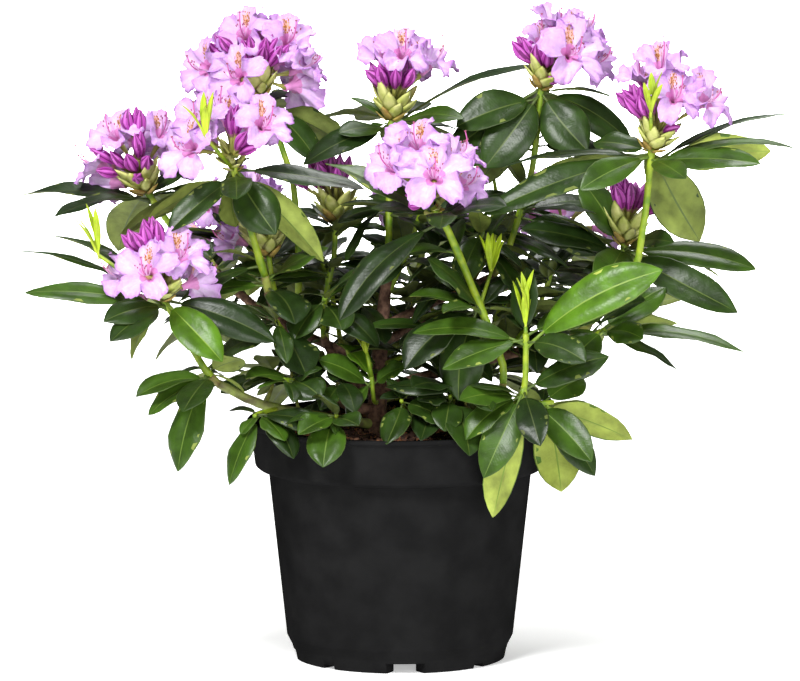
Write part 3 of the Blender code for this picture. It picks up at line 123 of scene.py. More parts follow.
# Woody limbs: foot on a carrier at a share of its length, then points in cm, radii in cm
LIMBS = (
    Limb("main_stem", None, 0.0,
         ((-2.0, -2.0, 19.33), (-1.9, -1.7, 22.5), (-1.6, -0.4, 28.0), (-1.0, 0.5, 33.0)), 0.85, 0.46),
    Limb("bough_left_low", "main_stem", 0.06, ((-5.2, -4.4, 21.0), (-11.5, -6.8, 22.6), (-15.2, -8.3, 24.6)),
         0.42, 0.38),
    Limb("bough_left", "main_stem", 0.16, ((-4.4, -2.9, 21.9), (-7.4, -4.0, 24.6), (-9.6, -3.9, 28.4),
                                           (-11.1, -3.0, 31.6)), 0.45, 0.40),
    Limb("bough_centre_left", "main_stem", 0.25, ((-4.3, -1.0, 23.6), (-5.2, -0.5, 25.0), (-6.5, 0.0, 27.3)),
         0.40, 0.34),
    Limb("bough_left_outer", "main_stem", 0.40, ((-5.5, 1.6, 26.2), (-10.5, 2.8, 28.4), (-15.2, 2.2, 32.0)),
         0.42, 0.36),
    Limb("bough_right_front", "main_stem", 0.08, ((2.5, -4.6, 21.2), (6.5, -7.6, 21.9), (9.3, -9.6, 22.9)),
         0.44, 0.40),
    Limb("bough_right", "main_stem", 0.27, ((3.5, -1.9, 24.7), (10.0, -2.6, 26.5), (15.6, -3.0, 27.9)),
         0.46, 0.40),
    Limb("bough_right_upper", "main_stem", 0.66, ((2.5, 1.5, 30.0), (7.9, 2.9, 32.2)), 0.38, 0.34),
    Limb("bough_back", "main_stem", 0.15, ((-1.2, 4.0, 24.0), (0.5, 10.0, 28.0), (1.5, 14.0, 31.0)),
         0.44, 0.36),
    Limb("bough_back_left", "main_stem", 0.52, ((-4.6, 4.8, 28.4), (-9.5, 10.5, 30.5)), 0.38, 0.34),
    Limb("bough_back_right", "main_stem", 0.55, ((3.2, 5.6, 28.6), (9.5, 10.5, 30.5)), 0.38, 0.34),
)

# Shoots: points in cm after the foot, radius in cm. A whorl's aims are leaf tips measured from
# its middle: right, back and up in cm, the blade's width in cm, and its roll to the front in degrees.
# A head's open flowers are measured from the stem's top: right, back and up in cm, how far the flower
# is turned to the front, and its size over the usual one. A bunch of buds has its tips' middle in cm,
# their number, and its spread in cm. Spots are flowers that a rule spreads over a head.
SHOOTS = (
    Shoot("flowering_shoot_top_left", "bough_left_outer", 0.52,
          ((-8.6, 2.2, 33.0), (-9.1, 2.0, 40.6), (-11.9, 3.0, 47.9)), 0.33,
          (Whorl(0.95, 5, 9.0, BACK, ((6.8, -0.5, -3.6, 3.6, -50), (4.5, -2.0, -4.6, 3.0, 30))),),
          Head((-0.2, -0.15, 0.95),
               ((-2.2, -4.2, 2.1, 0.2, 1.15), (-1.5, -0.6, 5.7, 1.0, 1.0), (-5.3, -1.5, 2.5, 0.7, 1.05),
                (-5.4, 0.8, 0.4, 0.3, 0.85), (2.8, -1.0, 5.1, 0.9, 1.05), (4.5, -0.6, 2.9, 0.15, 1.0),
                (3.9, 1.2, 0.8, -0.6, 1.15), (0.2, 2.4, 5.6, -0.2, 0.9), (-3.6, 3.2, 3.2, -0.4, 1.0),
                (1.6, 4.4, 2.4, -0.5, 1.0)),
               ((-4.0, -0.8, 4.9, 4, 1.0), (-1.0, -1.6, 5.0, 2, 0.6), (1.3, -2.2, 4.9, 6, 1.5)), 0), ()),
    Shoot("flowering_shoot_left", "bough_left_outer", 1.0,
          ((-18.4, 1.6, 35.3), (-21.6, 1.0, 39.9)), 0.32,
          (Whorl(0.93, 4, 9.0, BACK, ((-10.9, 0.0, 0.0, 3.0, 15), (-8.5, -3.0, -1.0, 2.7, 10))),),
          Head((-0.3, -0.2, 0.9),
               ((-2.9, -1.2, 5.5, 0.5, 1.05), (-4.9, 0.4, 2.6, 0.0, 1.0), (-3.3, 1.6, 0.6, -0.5, 0.9),
                (1.6, 0.6, 5.6, 0.6, 0.95), (-1.0, 3.6, 4.4, -0.4, 1.0), (2.6, 3.2, 2.6, -0.4, 0.95)),
               ((-0.9, -0.9, 7.2, 3, 0.8), (-0.4, -2.4, 5.2, 2, 0.5), (-4.6, -1.6, 3.7, 1, 0.0),
                (-2.9, -2.6, 3.6, 1, 0.0), (-1.5, -3.2, 3.4, 1, 0.0), (-4.1, -2.2, 1.9, 1, 0.0),
                (-0.7, -3.2, 1.4, 1, 0.0), (0.4, -3.0, 3.2, 1, 0.0)), 0), ()),
    Shoot("flowering_shoot_left_centre", "bough_left", 1.0,
          ((-11.4, -3.1, 33.0), (-12.6, -4.2, 37.2), (-14.0, -5.0, 42.6)), 0.35,
          (Whorl(0.94, 1, 9.0, BACK, ((-9.8, 1.0, -5.4, 2.2, -45), (-7.4, 0.5, -4.0, 2.6, -45),
                                      (-5.6, -3.0, -4.6, 2.6, 40), (0.2, -6.0, -1.4, 2.8, 10),
                                      (3.4, -3.6, -4.6, 3.8, 45), (7.6, -0.6, -7.2, 3.2, -65),
                                      (11.0, -1.0, -1.2, 2.6, 30), (-0.4, 2.0, -4.8, 3.2, -60))),
           Whorl(0.24, 1, 7.0, BACK, ((-7.0, -1.0, -3.0, 2.3, 20),)),
           Whorl(0.08, 2, 7.0, BACK, ((2.5, -5.0, -2.8, 3.9, 0), (-6.0, -1.0, -1.0, 2.7, 20),
                                      (-5.5, 2.0, 0.5, 2.7, 0), (5.0, -2.0, 3.0, 3.0, 20)))),
          Head((-0.1, -0.5, 0.75),
               ((3.0, -2.8, 4.3, 0.6, 1.1), (-2.9, -1.6, 4.5, 0.8, 1.05), (-4.3, -2.6, 2.0, 0.5, 1.2),
                (-0.9, 0.6, 5.2, 0.6, 0.95), (1.8, 2.8, 3.6, -0.4, 1.0), (-3.0, 3.0, 2.8, -0.4, 1.0)),
               ((0.3, -1.6, 5.4, 3, 0.7), (1.3, -2.9, 3.3, 1, 0.0), (2.2, -2.2, 1.9, 1, 0.0)), 0),
          ((0.97, (-2.2, -3.4, 3.0), 4, 4.5),)),
    Shoot("flowering_shoot_left_front", "bough_left_low", 1.0,
          ((-16.4, -9.0, 26.0), (-18.2, -8.4, 29.0), (-20.0, -7.9, 32.0)), 0.33,
          (Whorl(0.92, 1, 8.0, BACK, ((-13.0, -0.5, 4.0, 2.0, 0), (-11.8, -1.0, 1.2, 2.6, 35),
                                      (-5.0, -4.0, -0.8, 2.8, 35), (-4.5, -5.0, -2.6, 2.7, 25),
                                      (4.8, -4.6, -4.2, 3.4, 40), (9.2, -2.0, -2.9, 3.2, 55),
                                      (-3.0, 2.0, -5.0, 2.3, 0), (-9.5, 4.0, 5.5, 2.7, 0))),
           Whorl(0.16, 2, 6.0, BACK, ((-6.0, -2.0, -1.5, 2.7, 20), (-5.0, -2.0, -3.2, 2.7, 20),
                                      (-2.0, -5.0, -2.5, 3.0, 0), (-2.0, -1.0, -5.5, 2.3, 10),
                                      (-2.5, -2.5, -8.0, 3.4, 10), (3.0, -2.0, 1.5, 2.7, -40),
                                      (5.0, 0.0, 3.5, 3.4, 20)))),
          Head((0.1, -0.4, 0.9),
               ((-1.3, -4.0, 2.8, 0.25, 1.15), (2.0, -1.6, 4.2, 0.5, 1.05), (-4.2, -0.8, 2.4, 0.2, 1.0),
                (-3.4, 1.2, -0.4, -0.2, 0.85), (0.6, 3.6, 3.2, -0.5, 1.0), (3.6, 1.4, 1.4, -0.3, 0.9)),
               ((-0.9, -1.0, 6.8, 5, 1.1), (-2.9, -1.4, 5.7, 3, 0.8)), 0),
          ((0.95, (-5.4, -1.5, 4.0), 5, 4.6),)),
    Shoot("flowering_shoot_top_centre", "main_stem", 1.0,
          ((-0.9, 2.6, 39.0), (-0.7, 4.0, 45.8)), 0.34,
          (Whorl(0.96, 4, 8.0, BACK, ((-4.5, -3.0, -0.6, 2.7, 20), (-8.5, -2.0, -3.2, 2.8, 35),
                                      (12.6, 0.0, 5.0, 3.0, 0), (6.0, -4.0, 1.0, 3.0, 20),
                                      (-4.0, 1.0, -2.5, 3.0, 10))),
           Whorl(0.40, 5, 8.0, ROUND, ())),
          Head((0.12, -0.1, 1.0),
               ((1.1, -1.0, 6.2, 0.8, 1.1), (-0.9, 0.9, 6.0, 0.6, 0.95), (3.9, -0.3, 5.5, 0.1, 1.05),
                (1.5, 3.0, 4.6, -0.5, 0.95)),
               ((-0.3, -0.8, 5.1, 11, 2.4),), 0), ()),
    Shoot("flowering_shoot_front_centre", "bough_right_front", 0.90,
          ((8.7, -9.0, 26.0), (6.8, -8.0, 30.9), (4.0, -9.0, 37.7), (2.7, -9.0, 39.6)), 0.36,
          (Whorl(0.95, 2, 8.0, BACK, ((-8.5, -4.0, -8.0, 3.6, 20), (-9.5, 1.0, 4.5, 3.2, 25),
                                      (5.5, -5.0, 1.5, 3.2, 20), (0.0, -6.5, 0.0, 2.7, 0))),
           Whorl(0.76, 0, 8.0, BACK, ((-5.5, 1.5, -0.5, 3.0, 10),)),
           Whorl(0.48, 2, 8.0, BACK, ((-4.5, -2.0, 4.5, 3.2, 30), (-6.0, -3.0, 1.5, 2.5, 20),
                                      (-4.0, -5.0, 0.5, 2.3, 15), (-6.5, -3.0, -4.5, 3.9, 25),
                                      (-2.0, -2.0, -7.5, 4.3, 20)))),
          Head((-0.1, -0.7, 0.75),
               ((0.2, -3.9, 3.6, 0.3, 1.3), (-1.4, -1.2, 6.0, 0.7, 1.1), (-3.9, -1.5, 4.2, 0.45, 1.15),
                (3.1, -1.8, 2.6, 0.4, 1.0), (2.5, 0.6, 4.9, 0.4, 1.0), (-1.6, 2.6, 4.6, -0.4, 1.0),
                (1.8, 3.2, 2.2, -0.5, 0.9)),
               ((-2.3, -2.2, 1.3, 1, 0.0), (-2.0, -2.9, 0.4, 1, 0.0)), 0),
          ((0.50, (1.0, 2.5, 2.4), 5, 4.0),)),
    Shoot("flowering_shoot_top_right", "bough_right_upper", 1.0,
          ((8.8, 3.0, 33.4), (10.0, 3.0, 37.0), (11.3, 3.0, 41.7), (12.0, 3.0, 48.6)), 0.31,
          (Whorl(0.96, 1, 8.0, BACK, ((-7.2, -1.5, -2.8, 3.8, 45), (-5.6, 0.0, -8.0, 3.2, -70),
                                      (-4.8, -3.0, -6.0, 4.2, 45), (3.9, -3.0, -4.6, 4.2, 55),
                                      (8.0, 1.0, -4.4, 3.4, 45), (-8.2, 1.5, -5.6, 3.4, 50),
                                      (1.6, 2.5, -4.0, 3.0, -60))),
           Whorl(0.70, 0, 7.0, BACK, ((-6.4, -1.5, -1.6, 2.6, 20), (6.0, -1.0, -0.8, 3.0, 30),
                                      (-4.4, 1.5, 1.0, 2.6, -30), (5.0, 2.0, 2.4, 2.8, 30))),
           Whorl(0.36, 7, 8.0, ROUND, ((6.4, -2.0, -3.4, 3.2, 45), (2.6, -1.0, 2.6, 2.4, 20)))),
          Head((0.25, -0.2, 0.9),
               ((2.9, -3.2, 3.4, 0.5, 1.25), (1.4, 0.0, 6.2, 0.1, 1.0), (4.0, 0.8, 5.3, 0.3, 0.9),
                (5.0, -0.9, 2.4, 0.5, 1.05), (0.0, -0.8, 4.7, 0.5, 0.75), (2.2, 3.4, 3.6, -0.5, 1.0),
                (4.6, 1.9, 2.6, -0.1, 0.9)),
               ((-2.2, -1.0, 4.2, 4, 0.9), (0.0, -2.2, 3.8, 3, 0.8), (2.8, -0.6, 5.9, 2, 0.4),
                (1.4, -1.6, 0.3, 1, 0.0)), 0), ()),
    Shoot("leafy_shoot_centre_right", "bough_right_upper", 0.80,
          ((8.0, 5.4, 35.0), (8.2, 5.0, 39.0), (7.4, 4.0, 43.6)), 0.20,
          (Whorl(0.96, 2, 6.0, BACK, ((5.5, -3.0, 4.5, 3.4, 45),)),
           Whorl(0.45, 5, 8.0, ROUND, ())), None, ((1.0, (0.0, 0.0, 1.0), 2, 2.0),)),
    Shoot("flowering_shoot_right", "bough_right", 0.93,
          ((17.6, -2.4, 30.4), (20.1, -3.0, 34.4), (21.2, -3.0, 44.0)), 0.35,
          (Whorl(0.95, 1, 9.0, BACK, ((12.4, 3.0, 3.4, 2.2, 0), (12.2, -1.0, 1.4, 2.6, 10),
                                      (9.2, -3.0, -0.2, 2.8, 40), (10.2, 2.0, 0.4, 4.0, -55),
                                      (2.8, -5.0, -1.2, 2.4, 20), (-12.6, -1.0, -0.6, 2.0, 10),
                                      (-6.0, -4.0, -2.0, 2.8, 35), (-14.2, -3.0, -4.2, 3.2, 40),
                                      (-11.4, 0.0, -2.6, 3.2, -50), (4.2, 1.5, -7.2, 4.4, -70),
                                      (-4.8, 2.5, 1.0, 3.0, 30))),),
          Head((0.3, -0.2, 0.9),
               ((0.9, -0.2, 7.9, 0.4, 1.05), (2.2, -2.6, 5.1, 0.6, 1.1), (5.2, -1.4, 4.6, 0.35, 1.15),
                (-0.9, 1.2, 6.7, 0.4, 0.9), (3.4, 2.2, 5.0, -0.4, 1.0), (0.8, 3.0, 4.0, -0.5, 0.9)),
               ((-1.9, -1.2, 5.4, 9, 2.0), (2.4, -1.2, 1.8, 1, 0.0)), 0),
          ((1.0, (-0.2, -3.2, 3.2), 4, 4.0),)),
    Shoot("budding_shoot_right", "bough_right", 0.78,
          ((15.2, 0.6, 29.2), (18.4, 2.6, 32.4), (19.1, 3.0, 35.3)), 0.31,
          (Whorl(0.94, 2, 8.0, BACK, ((-6.6, -2.0, 3.2, 2.2, 10), (-9.2, -2.4, 2.2, 3.0, 40),
                                      (11.3, -1.0, -1.6, 3.0, 40), (9.6, -4.0, -4.8, 3.4, 50),
                                      (4.0, -5.0, 1.4, 2.2, 40), (8.6, 2.0, -2.4, 2.4, 20),
                                      (-2.4, -6.0, -2.6, 3.4, 30), (-3.6, 1.0, 6.0, 3.4, 45))),),
          Head((0.15, 0.0, 1.0), (),
               ((-0.2, -1.0, 5.5, 5, 1.3), (3.6, -1.4, 4.3, 4, 0.9), (1.6, 1.8, 4.8, 3, 0.9)), 0), ()),
    Shoot("budding_shoot_centre_left", "bough_centre_left", 0.90,
          ((-6.4, 2.2, 30.0), (-5.6, 3.0, 34.0), (-5.5, 3.0, 37.2)), 0.28,
          (Whorl(0.92, 3, 7.0, BACK, ((2.0, -5.0, 1.5, 2.5, 0), (-3.0, -3.0, 0.0, 2.7, 10))),
           Whorl(0.55, 6, 7.5, ROUND, ())),
          Head((0.0, 0.0, 1.0), (),
               ((-0.6, -0.9, 5.7, 10, 2.6), (-4.1, -2.8, 3.9, 1, 0.0)), 0), ()),
    Shoot("budding_shoot_left_centre", "bough_left", 0.84,
          ((-10.6, -1.0, 31.4), (-11.2, 0.3, 34.6)), 0.24,
          (Whorl(0.90, 4, 7.0, BACK, ((3.5, -1.0, 0.2, 2.5, 10),)),),
          Head((-0.15, 0.0, 1.0), ((-3.8, -1.2, 1.6, 0.2, 0.8),),
               ((-0.5, -0.8, 2.9, 4, 0.9),), 0), ()),
    Shoot("leafy_shoot_centre", "bough_centre_left", 1.0,
          ((-6.5, -2.6, 29.4), (-6.3, -4.0, 31.4)), 0.26,
          (Whorl(0.92, 2, 6.0, BACK, ((4.5, -3.0, -3.5, 3.6, 10), (1.5, -4.0, -2.0, 3.2, 10),
                                      (2.5, -2.5, 2.8, 3.4, 25), (-1.5, -3.5, -3.0, 3.4, 0))),
           Whorl(0.30, 4, 6.0, ROUND, ())), None, ()),
    Shoot("leafy_shoot_left_inner", "bough_left", 0.70,
          ((-10.4, -6.0, 29.6),), 0.22,
          (Whorl(0.90, 3, 6.0, (200, 120), ((2.5, -3.0, -4.0, 4.1, 0),)),), None, ()),
    Shoot("leafy_shoot_left_front", "bough_left", 0.45,
          ((-8.4, -6.4, 24.6), (-9.8, -8.0, 24.9)), 0.22,
          (Whorl(0.88, 2, 5.0, (250, 80), ((-3.5, -2.0, 0.5, 2.5, 20), (2.2, -2.0, 1.0, 2.1, 20),
                                           (2.8, -3.0, -1.0, 3.0, 25))),), None, ()),
    Shoot("leafy_shoot_low_left", "bough_left_low", 0.62,
          ((-11.6, -9.2, 22.3), (-12.2, -10.6, 22.2)), 0.20,
          (Whorl(0.80, 0, 5.0, BACK, ((3.0, -3.0, -3.2, 2.7, 10), (-2.5, -2.0, -5.7, 3.0, 0),
                                      (-1.5, -1.0, -1.6, 1.6, 0), (3.0, -2.0, -2.0, 2.5, 0),
                                      (6.0, -2.0, -0.6, 2.7, 30))),), None, ()),
    Shoot("leafy_shoot_low_centre", "bough_left_low", 0.30,
          ((-5.9, -8.0, 21.6), (-5.3, -11.2, 22.3)), 0.20,
          (Whorl(0.92, 1, 4.5, (200, 60), ((-1.0, -4.0, -3.6, 3.4, 0), (2.0, -3.0, -0.3, 2.5, 20),
                                           (-2.0, -1.0, 2.0, 3.0, 20), (-3.5, -2.5, -1.0, 2.5, 20))),),
          None, ()),
    Shoot("leafy_shoot_young_centre", "main_stem", 0.20,
          ((-2.2, -4.6, 22.6), (-2.4, -5.0, 24.8)), 0.22,
          (Whorl(0.90, 1, 4.5, BACK, ((-4.5, -1.0, 2.0, 2.7, 40), (3.0, -1.0, 1.5, 2.3, 40),
                                      (-2.0, -1.5, -3.0, 2.3, 0), (-3.0, 2.0, 3.0, 3.0, 0))),), None,
          ((1.0, (-0.4, 0.0, 2.0), 3, 2.2),)),
    Shoot("leafy_shoot_low_front", "bough_right_front", 0.22,
          ((0.5, -6.2, 22.2), (0.1, -9.2, 23.3)), 0.18,
          (Whorl(0.92, 0, 4.5, BACK, ((-1.3, -4.4, -2.9, 2.7, 0), (4.0, -2.0, -1.5, 3.4, 25),
                                      (2.0, 1.5, 1.0, 2.5, 0))),), None, ()),
    Shoot("leafy_shoot_low_front_right", "bough_right_front", 0.55,
          ((4.3, -7.8, 22.9), (4.2, -9.2, 23.7)), 0.18,
          (Whorl(0.88, 1, 4.5, BACK, ((1.6, -4.4, -4.2, 3.4, 0), (-1.5, -3.0, -2.4, 2.7, 10),
                                      (-3.0, -1.0, 0.0, 2.7, 20))),), None, ()),
    Shoot("leafy_shoot_front_right", "bough_right_front", 1.0,
          ((10.3, -10.8, 24.0), (10.5, -11.0, 26.6), (10.5, -11.0, 29.2)), 0.30,
          (Whorl(0.93, 1, 7.0, BACK, ((11.4, -1.0, 6.0, 4.2, 55), (-9.4, -1.0, 1.0, 2.6, 30),
                                      (4.9, -4.0, -1.2, 3.0, 40), (-7.0, -2.0, -2.2, 2.8, 35),
                                      (-0.4, 1.8, 5.8, 3.2, 45), (6.6, 2.5, 2.0, 3.2, 30))),
           Whorl(0.30, 1, 6.0, BACK, ((-5.4, -3.0, -0.2, 2.6, 35), (-4.6, -1.0, 0.8, 2.2, 10),
                                      (-4.9, -2.0, -3.6, 2.8, 30), (-3.8, -2.5, -6.8, 3.2, 40),
                                      (1.3, -5.0, -3.6, 2.8, 20), (7.0, -1.0, 3.4, 3.4, 40),
                                      (-2.6, -1.0, -10.4, 3.4, -80)))), None,
          ((1.0, (0.0, 0.0, 0.6), 6, 5.0),)),
    Shoot("leafy_shoot_low_right", "bough_right_front", 0.72,
          ((11.0, -8.3, 22.8), (12.9, -8.0, 23.0)), 0.24,
          (Whorl(0.86, 1, 6.0, BACK, ((4.0, -4.5, -4.2, 3.0, 45), (4.4, -1.0, -6.0, 3.0, 50),
                                      (7.6, 2.0, -3.2, 3.4, -55), (5.0, 2.0, -2.0, 2.6, -40),
                                      (3.5, 3.5, 1.6, 3.0, 40), (1.6, -0.3, -7.6, 4.2, -75))),), None, ()),
    Shoot("leafy_shoot_right", "bough_right", 1.0,
          ((16.8, -3.6, 28.3), (17.3, -3.8, 28.6)), 0.30,
          (Whorl(0.72, 1, 6.0, BACK, ((3.5, -4.5, 3.5, 3.4, 35), (6.6, 2.0, 0.6, 3.0, -40),
                                      (12.2, -1.0, -1.4, 2.4, 20), (6.6, 1.0, -3.4, 2.4, 20),
                                      (6.0, 2.0, 3.5, 3.4, 35), (9.8, 3.0, 2.2, 2.8, -30),
                                      (3.5, -3.0, 0.0, 2.7, 35), (-3.0, -3.0, -2.6, 3.2, 35))),), None, ()),
    Shoot("leafy_shoot_inner_right", "bough_right_upper", 0.45,
          ((5.6, -0.6, 33.6), (7.0, -1.2, 36.6)), 0.24,
          (Whorl(0.92, 8, 8.0, ROUND, ()), Whorl(0.45, 4, 7.0, ROUND, ())), None, ()),
    Shoot("leafy_shoot_inner_centre", "main_stem", 0.80,
          ((0.8, 0.6, 35.0), (1.8, 0.2, 38.2)), 0.24,
          (Whorl(0.92, 8, 8.0, ROUND, ()), Whorl(0.45, 4, 7.0, ROUND, ())), None, ()),
    Shoot("leafy_shoot_inner_low_right", "bough_right", 0.45,
          ((7.6, -4.2, 28.4), (8.6, -5.0, 31.0)), 0.24,
          (Whorl(0.92, 8, 7.5, ROUND, ()), Whorl(0.40, 3, 6.0, ROUND, ())), None, ()),
    Shoot("leafy_shoot_inner_left", "bough_left_outer", 0.25,
          ((-5.8, 3.6, 30.5), (-6.8, 4.6, 34.0)), 0.24,
          (Whorl(0.92, 8, 7.5, ROUND, ()), Whorl(0.45, 4, 7.0, ROUND, ())), None, ()),
    Shoot("leafy_shoot_inner_back_right", "bough_right", 0.62,
          ((11.6, 0.8, 29.5), (12.8, 2.2, 32.5)), 0.24,
          (Whorl(0.92, 8, 8.0, ROUND, ()), Whorl(0.45, 4, 7.0, ROUND, ())), None, ()),
    Shoot("leafy_shoot_inner_low_centre", "main_stem", 0.42,
          ((1.4, -2.6, 26.6), (3.2, -3.2, 28.8)), 0.22,
          (Whorl(0.90, 7, 7.0, ROUND, ()), Whorl(0.40, 3, 5.5, ROUND, ())), None, ()),
    Shoot("flowering_shoot_back", "bough_back", 1.0,
          ((2.0, 17.0, 32.6), (2.3, 20.0, 35.2)), 0.31,
          (Whorl(0.93, 9, 9.0, ROUND, ()), Whorl(0.30, 5, 8.0, ROUND, ())),
          Head((0.0, 0.5, 0.85), (), (), 7), ()),
    Shoot("leafy_shoot_back", "bough_back", 0.72,
          ((-3.6, 12.4, 29.4), (-5.8, 15.4, 31.6)), 0.26,
          (Whorl(0.92, 8, 8.5, ROUND, ()), Whorl(0.40, 4, 7.0, ROUND, ())), None, ()),
    Shoot("flowering_shoot_back_left", "bough_back_left", 1.0,
          ((-11.8, 14.0, 31.4), (-13.6, 17.4, 33.6)), 0.31,
          (Whorl(0.93, 9, 9.0, ROUND, ()), Whorl(0.30, 4, 8.0, ROUND, ())),
          Head((-0.3, 0.5, 0.8), (), (), 7), ()),
    Shoot("leafy_shoot_back_left", "bough_back_left", 0.68,
          ((-11.4, 7.2, 28.8), (-15.6, 9.0, 28.8)), 0.26,
          (Whorl(0.92, 7, 8.0, (100, 100), ()), Whorl(0.50, 3, 7.0, (100, 90), ())), None, ()),
    Shoot("flowering_shoot_back_right", "bough_back_right", 1.0,
          ((12.0, 14.0, 31.4), (14.0, 17.4, 33.6)), 0.31,
          (Whorl(0.93, 9, 9.0, ROUND, ()), Whorl(0.30, 4, 8.0, ROUND, ())),
          Head((0.3, 0.5, 0.8), (), (), 7), ()),
    Shoot("leafy_shoot_back_right", "bough_back_right", 0.68,
          ((12.0, 7.4, 29.0), (16.4, 8.6, 29.6)), 0.26,
          (Whorl(0.92, 7, 8.0, (80, 100), ()), Whorl(0.50, 3, 7.0, (80, 90), ())), None, ()),
    Shoot("leafy_shoot_low_back_left", "main_stem", 0.12,
          ((-5.4, 3.0, 21.6), (-9.4, 8.4, 22.8)), 0.26,
          (Whorl(0.94, 7, 7.5, (120, 110), ()), Whorl(0.50, 4, 6.0, ROUND, ())), None, ()),
    Shoot("leafy_shoot_low_back_right", "main_stem", 0.20,
          ((3.4, 2.6, 22.6), (8.4, 7.6, 23.4)), 0.26,
          (Whorl(0.94, 7, 7.5, (60, 110), ()), Whorl(0.50, 4, 6.0, ROUND, ())), None, ()),
)


def smooth_path(points, steps):
    """A Catmull-Rom curve through the points, with the given steps between two of them."""
    ends = [points[0] * 2 - points[1]] + list(points) + [points[-1] * 2 - points[-2]]
    curve = []
    for i in range(1, len(ends) - 2):
        a, b, c, d = ends[i - 1:i + 3]
        for k in range(steps):
            t = k / steps
            curve.append(0.5 * (2 * b + (c - a) * t + (2 * a - 5 * b + 4 * c - d) * t * t
                                + (3 * b - 3 * c + d - a) * t ** 3))
    curve.append(points[-1].copy())
    return curve


def along(curve, share):
    """The point and direction at a share of a curve's length."""
    lengths = [(b - a).length for a, b in zip(curve, curve[1:])]
    left = share * sum(lengths)
    for a, b, length in zip(curve, curve[1:], lengths):
        if left <= length:
            return a.lerp(b, left / length), (b - a).normalized()
        left -= length
    return curve[-1].copy(), (curve[-1] - curve[-2]).normalized()


def centimetres(values):
    return Vector(values) * CM


def limb_curves():
    """The middle line and radii of every woody limb, by name."""
    curves = {}
    for limb in LIMBS:
        points = [centimetres(p) for p in limb.path]
        if limb.carrier:
            points.insert(0, along(curves[limb.carrier][0], limb.at)[0])
        curves[limb.name] = (smooth_path(points, LIMB_STEPS), limb.foot * CM, limb.tip * CM)
    return curves


def shoot_curve(shoot, limbs):
    foot = along(limbs[shoot.carrier][0], shoot.at)[0]
    return smooth_path([foot] + [centimetres(p) for p in shoot.path], STEM_STEPS)


def leaf_frame(leaf):
    """A blade's chord, the direction its upper face looks in, and its sideways direction."""
    chord = leaf.tip - leaf.root
    ahead = chord.normalized()
    face = UP - ahead * ahead.z
    if face.length < 0.1:
        face = FRONT - ahead * ahead.dot(FRONT)
    face.normalize()
    side = ahead.cross(face)
    turn = math.radians(leaf.roll) * (1 if side.y < 0 else -1)
    face = face * math.cos(turn) + side * math.sin(turn)
    return chord, face, ahead.cross(face)


def leaf_point(leaf, chord, face, share):
    arch = leaf.bow * chord.length * 4 * share * (1 - share)
    return leaf.root + chord * share + face * arch


def outward(vertices, faces):
    """The same closed solid with its faces turned to point out."""
    volume = sum(vertices[f[0]].dot(vertices[a].cross(vertices[b]))
                 for f in faces for a, b in zip(f[1:], f[2:]))
    if volume < 0:
        faces = [tuple(reversed(f)) for f in faces]
    return vertices, faces


def leaf_solid(leaf, margin=0.0):
    """A closed blade: a root, a triangular section at each station, and a tip."""
    chord, face, side = leaf_frame(leaf)
    spare = chord.normalized() * margin
    vertices = [leaf.root - spare]
    for share, width in leaf.stations:
        middle = leaf_point(leaf, chord, face, share)
        half = side * (leaf.width * 0.5 * width + margin)
        vertices += [middle - half - face * margin, middle + half - face * margin,
                     middle + face * (RIDGE * chord.length + margin)]
    end = len(vertices)
    vertices.append(leaf.tip + spare)
    faces = []
    for k in range(3):
        a, b = 1 + k, 1 + (k + 1) % 3
        faces += [(0, b, a), (end, end - 3 + k, end - 3 + (k + 1) % 3)]
        for step in range(3, end - 1, 3):
            faces += [(a, b, b + step), (a, b + step, a + step)]
    return outward(vertices, faces)


def tube_solid(curve, foot, tip, sides, margin=0.0, flare=0.0):
    """A closed tapering tube round a curve, with flat ends."""
    points = [p.copy() for p in curve]
    points[0] -= (points[1] - points[0]).normalized() * margin
    points[-1] += (points[-1] - points[-2]).normalized() * margin
    vertices = []
    across = None
    for i, point in enumerate(points):
        ahead = (points[min(i + 1, len(points) - 1)] - points[max(i - 1, 0)]).normalized()
        if flare and i == 0:
            ahead = UP.copy()
        across = across or (FRONT if abs(ahead.dot(FRONT)) < 0.8 else UP)
        across = (across - ahead * across.dot(ahead)).normalized()
        other = ahead.cross(across)
        share = i / (len(points) - 1)
        radius = foot + (tip - foot) * share + margin + foot * flare * math.exp(-14 * share)
        for k in range(sides):
            turn = 2 * math.pi * k / sides
            vertices.append(point + (across * math.cos(turn) + other * math.sin(turn)) * radius)
    faces = [tuple(range(sides)), tuple(range(len(vertices) - sides, len(vertices)))[::-1]]
    for i in range(len(points) - 1):
        for k in range(sides):
            a, b = i * sides + k, i * sides + (k + 1) % sides
            faces.append((a, a + sides, b + sides, b))
    return outward(vertices, faces)


def spindle_solid(root, tip, radius, waist, sides):
    """A closed bud shape: a point at each end and one ring between."""
    axis = (tip - root).normalized()
    across = axis.orthogonal().normalized()
    other = axis.cross(across)
    middle = root.lerp(tip, waist)
    vertices = [root.copy(), tip.copy()]
    for k in range(sides):
        turn = 2 * math.pi * k / sides
        vertices.append(middle + (across * math.cos(turn) + other * math.sin(turn)) * radius)
    faces = []
    for k in range(sides):
        a, b = 2 + k, 2 + (k + 1) % sides
        faces += [(0, b, a), (1, a, b)]
    return outward(vertices, faces)


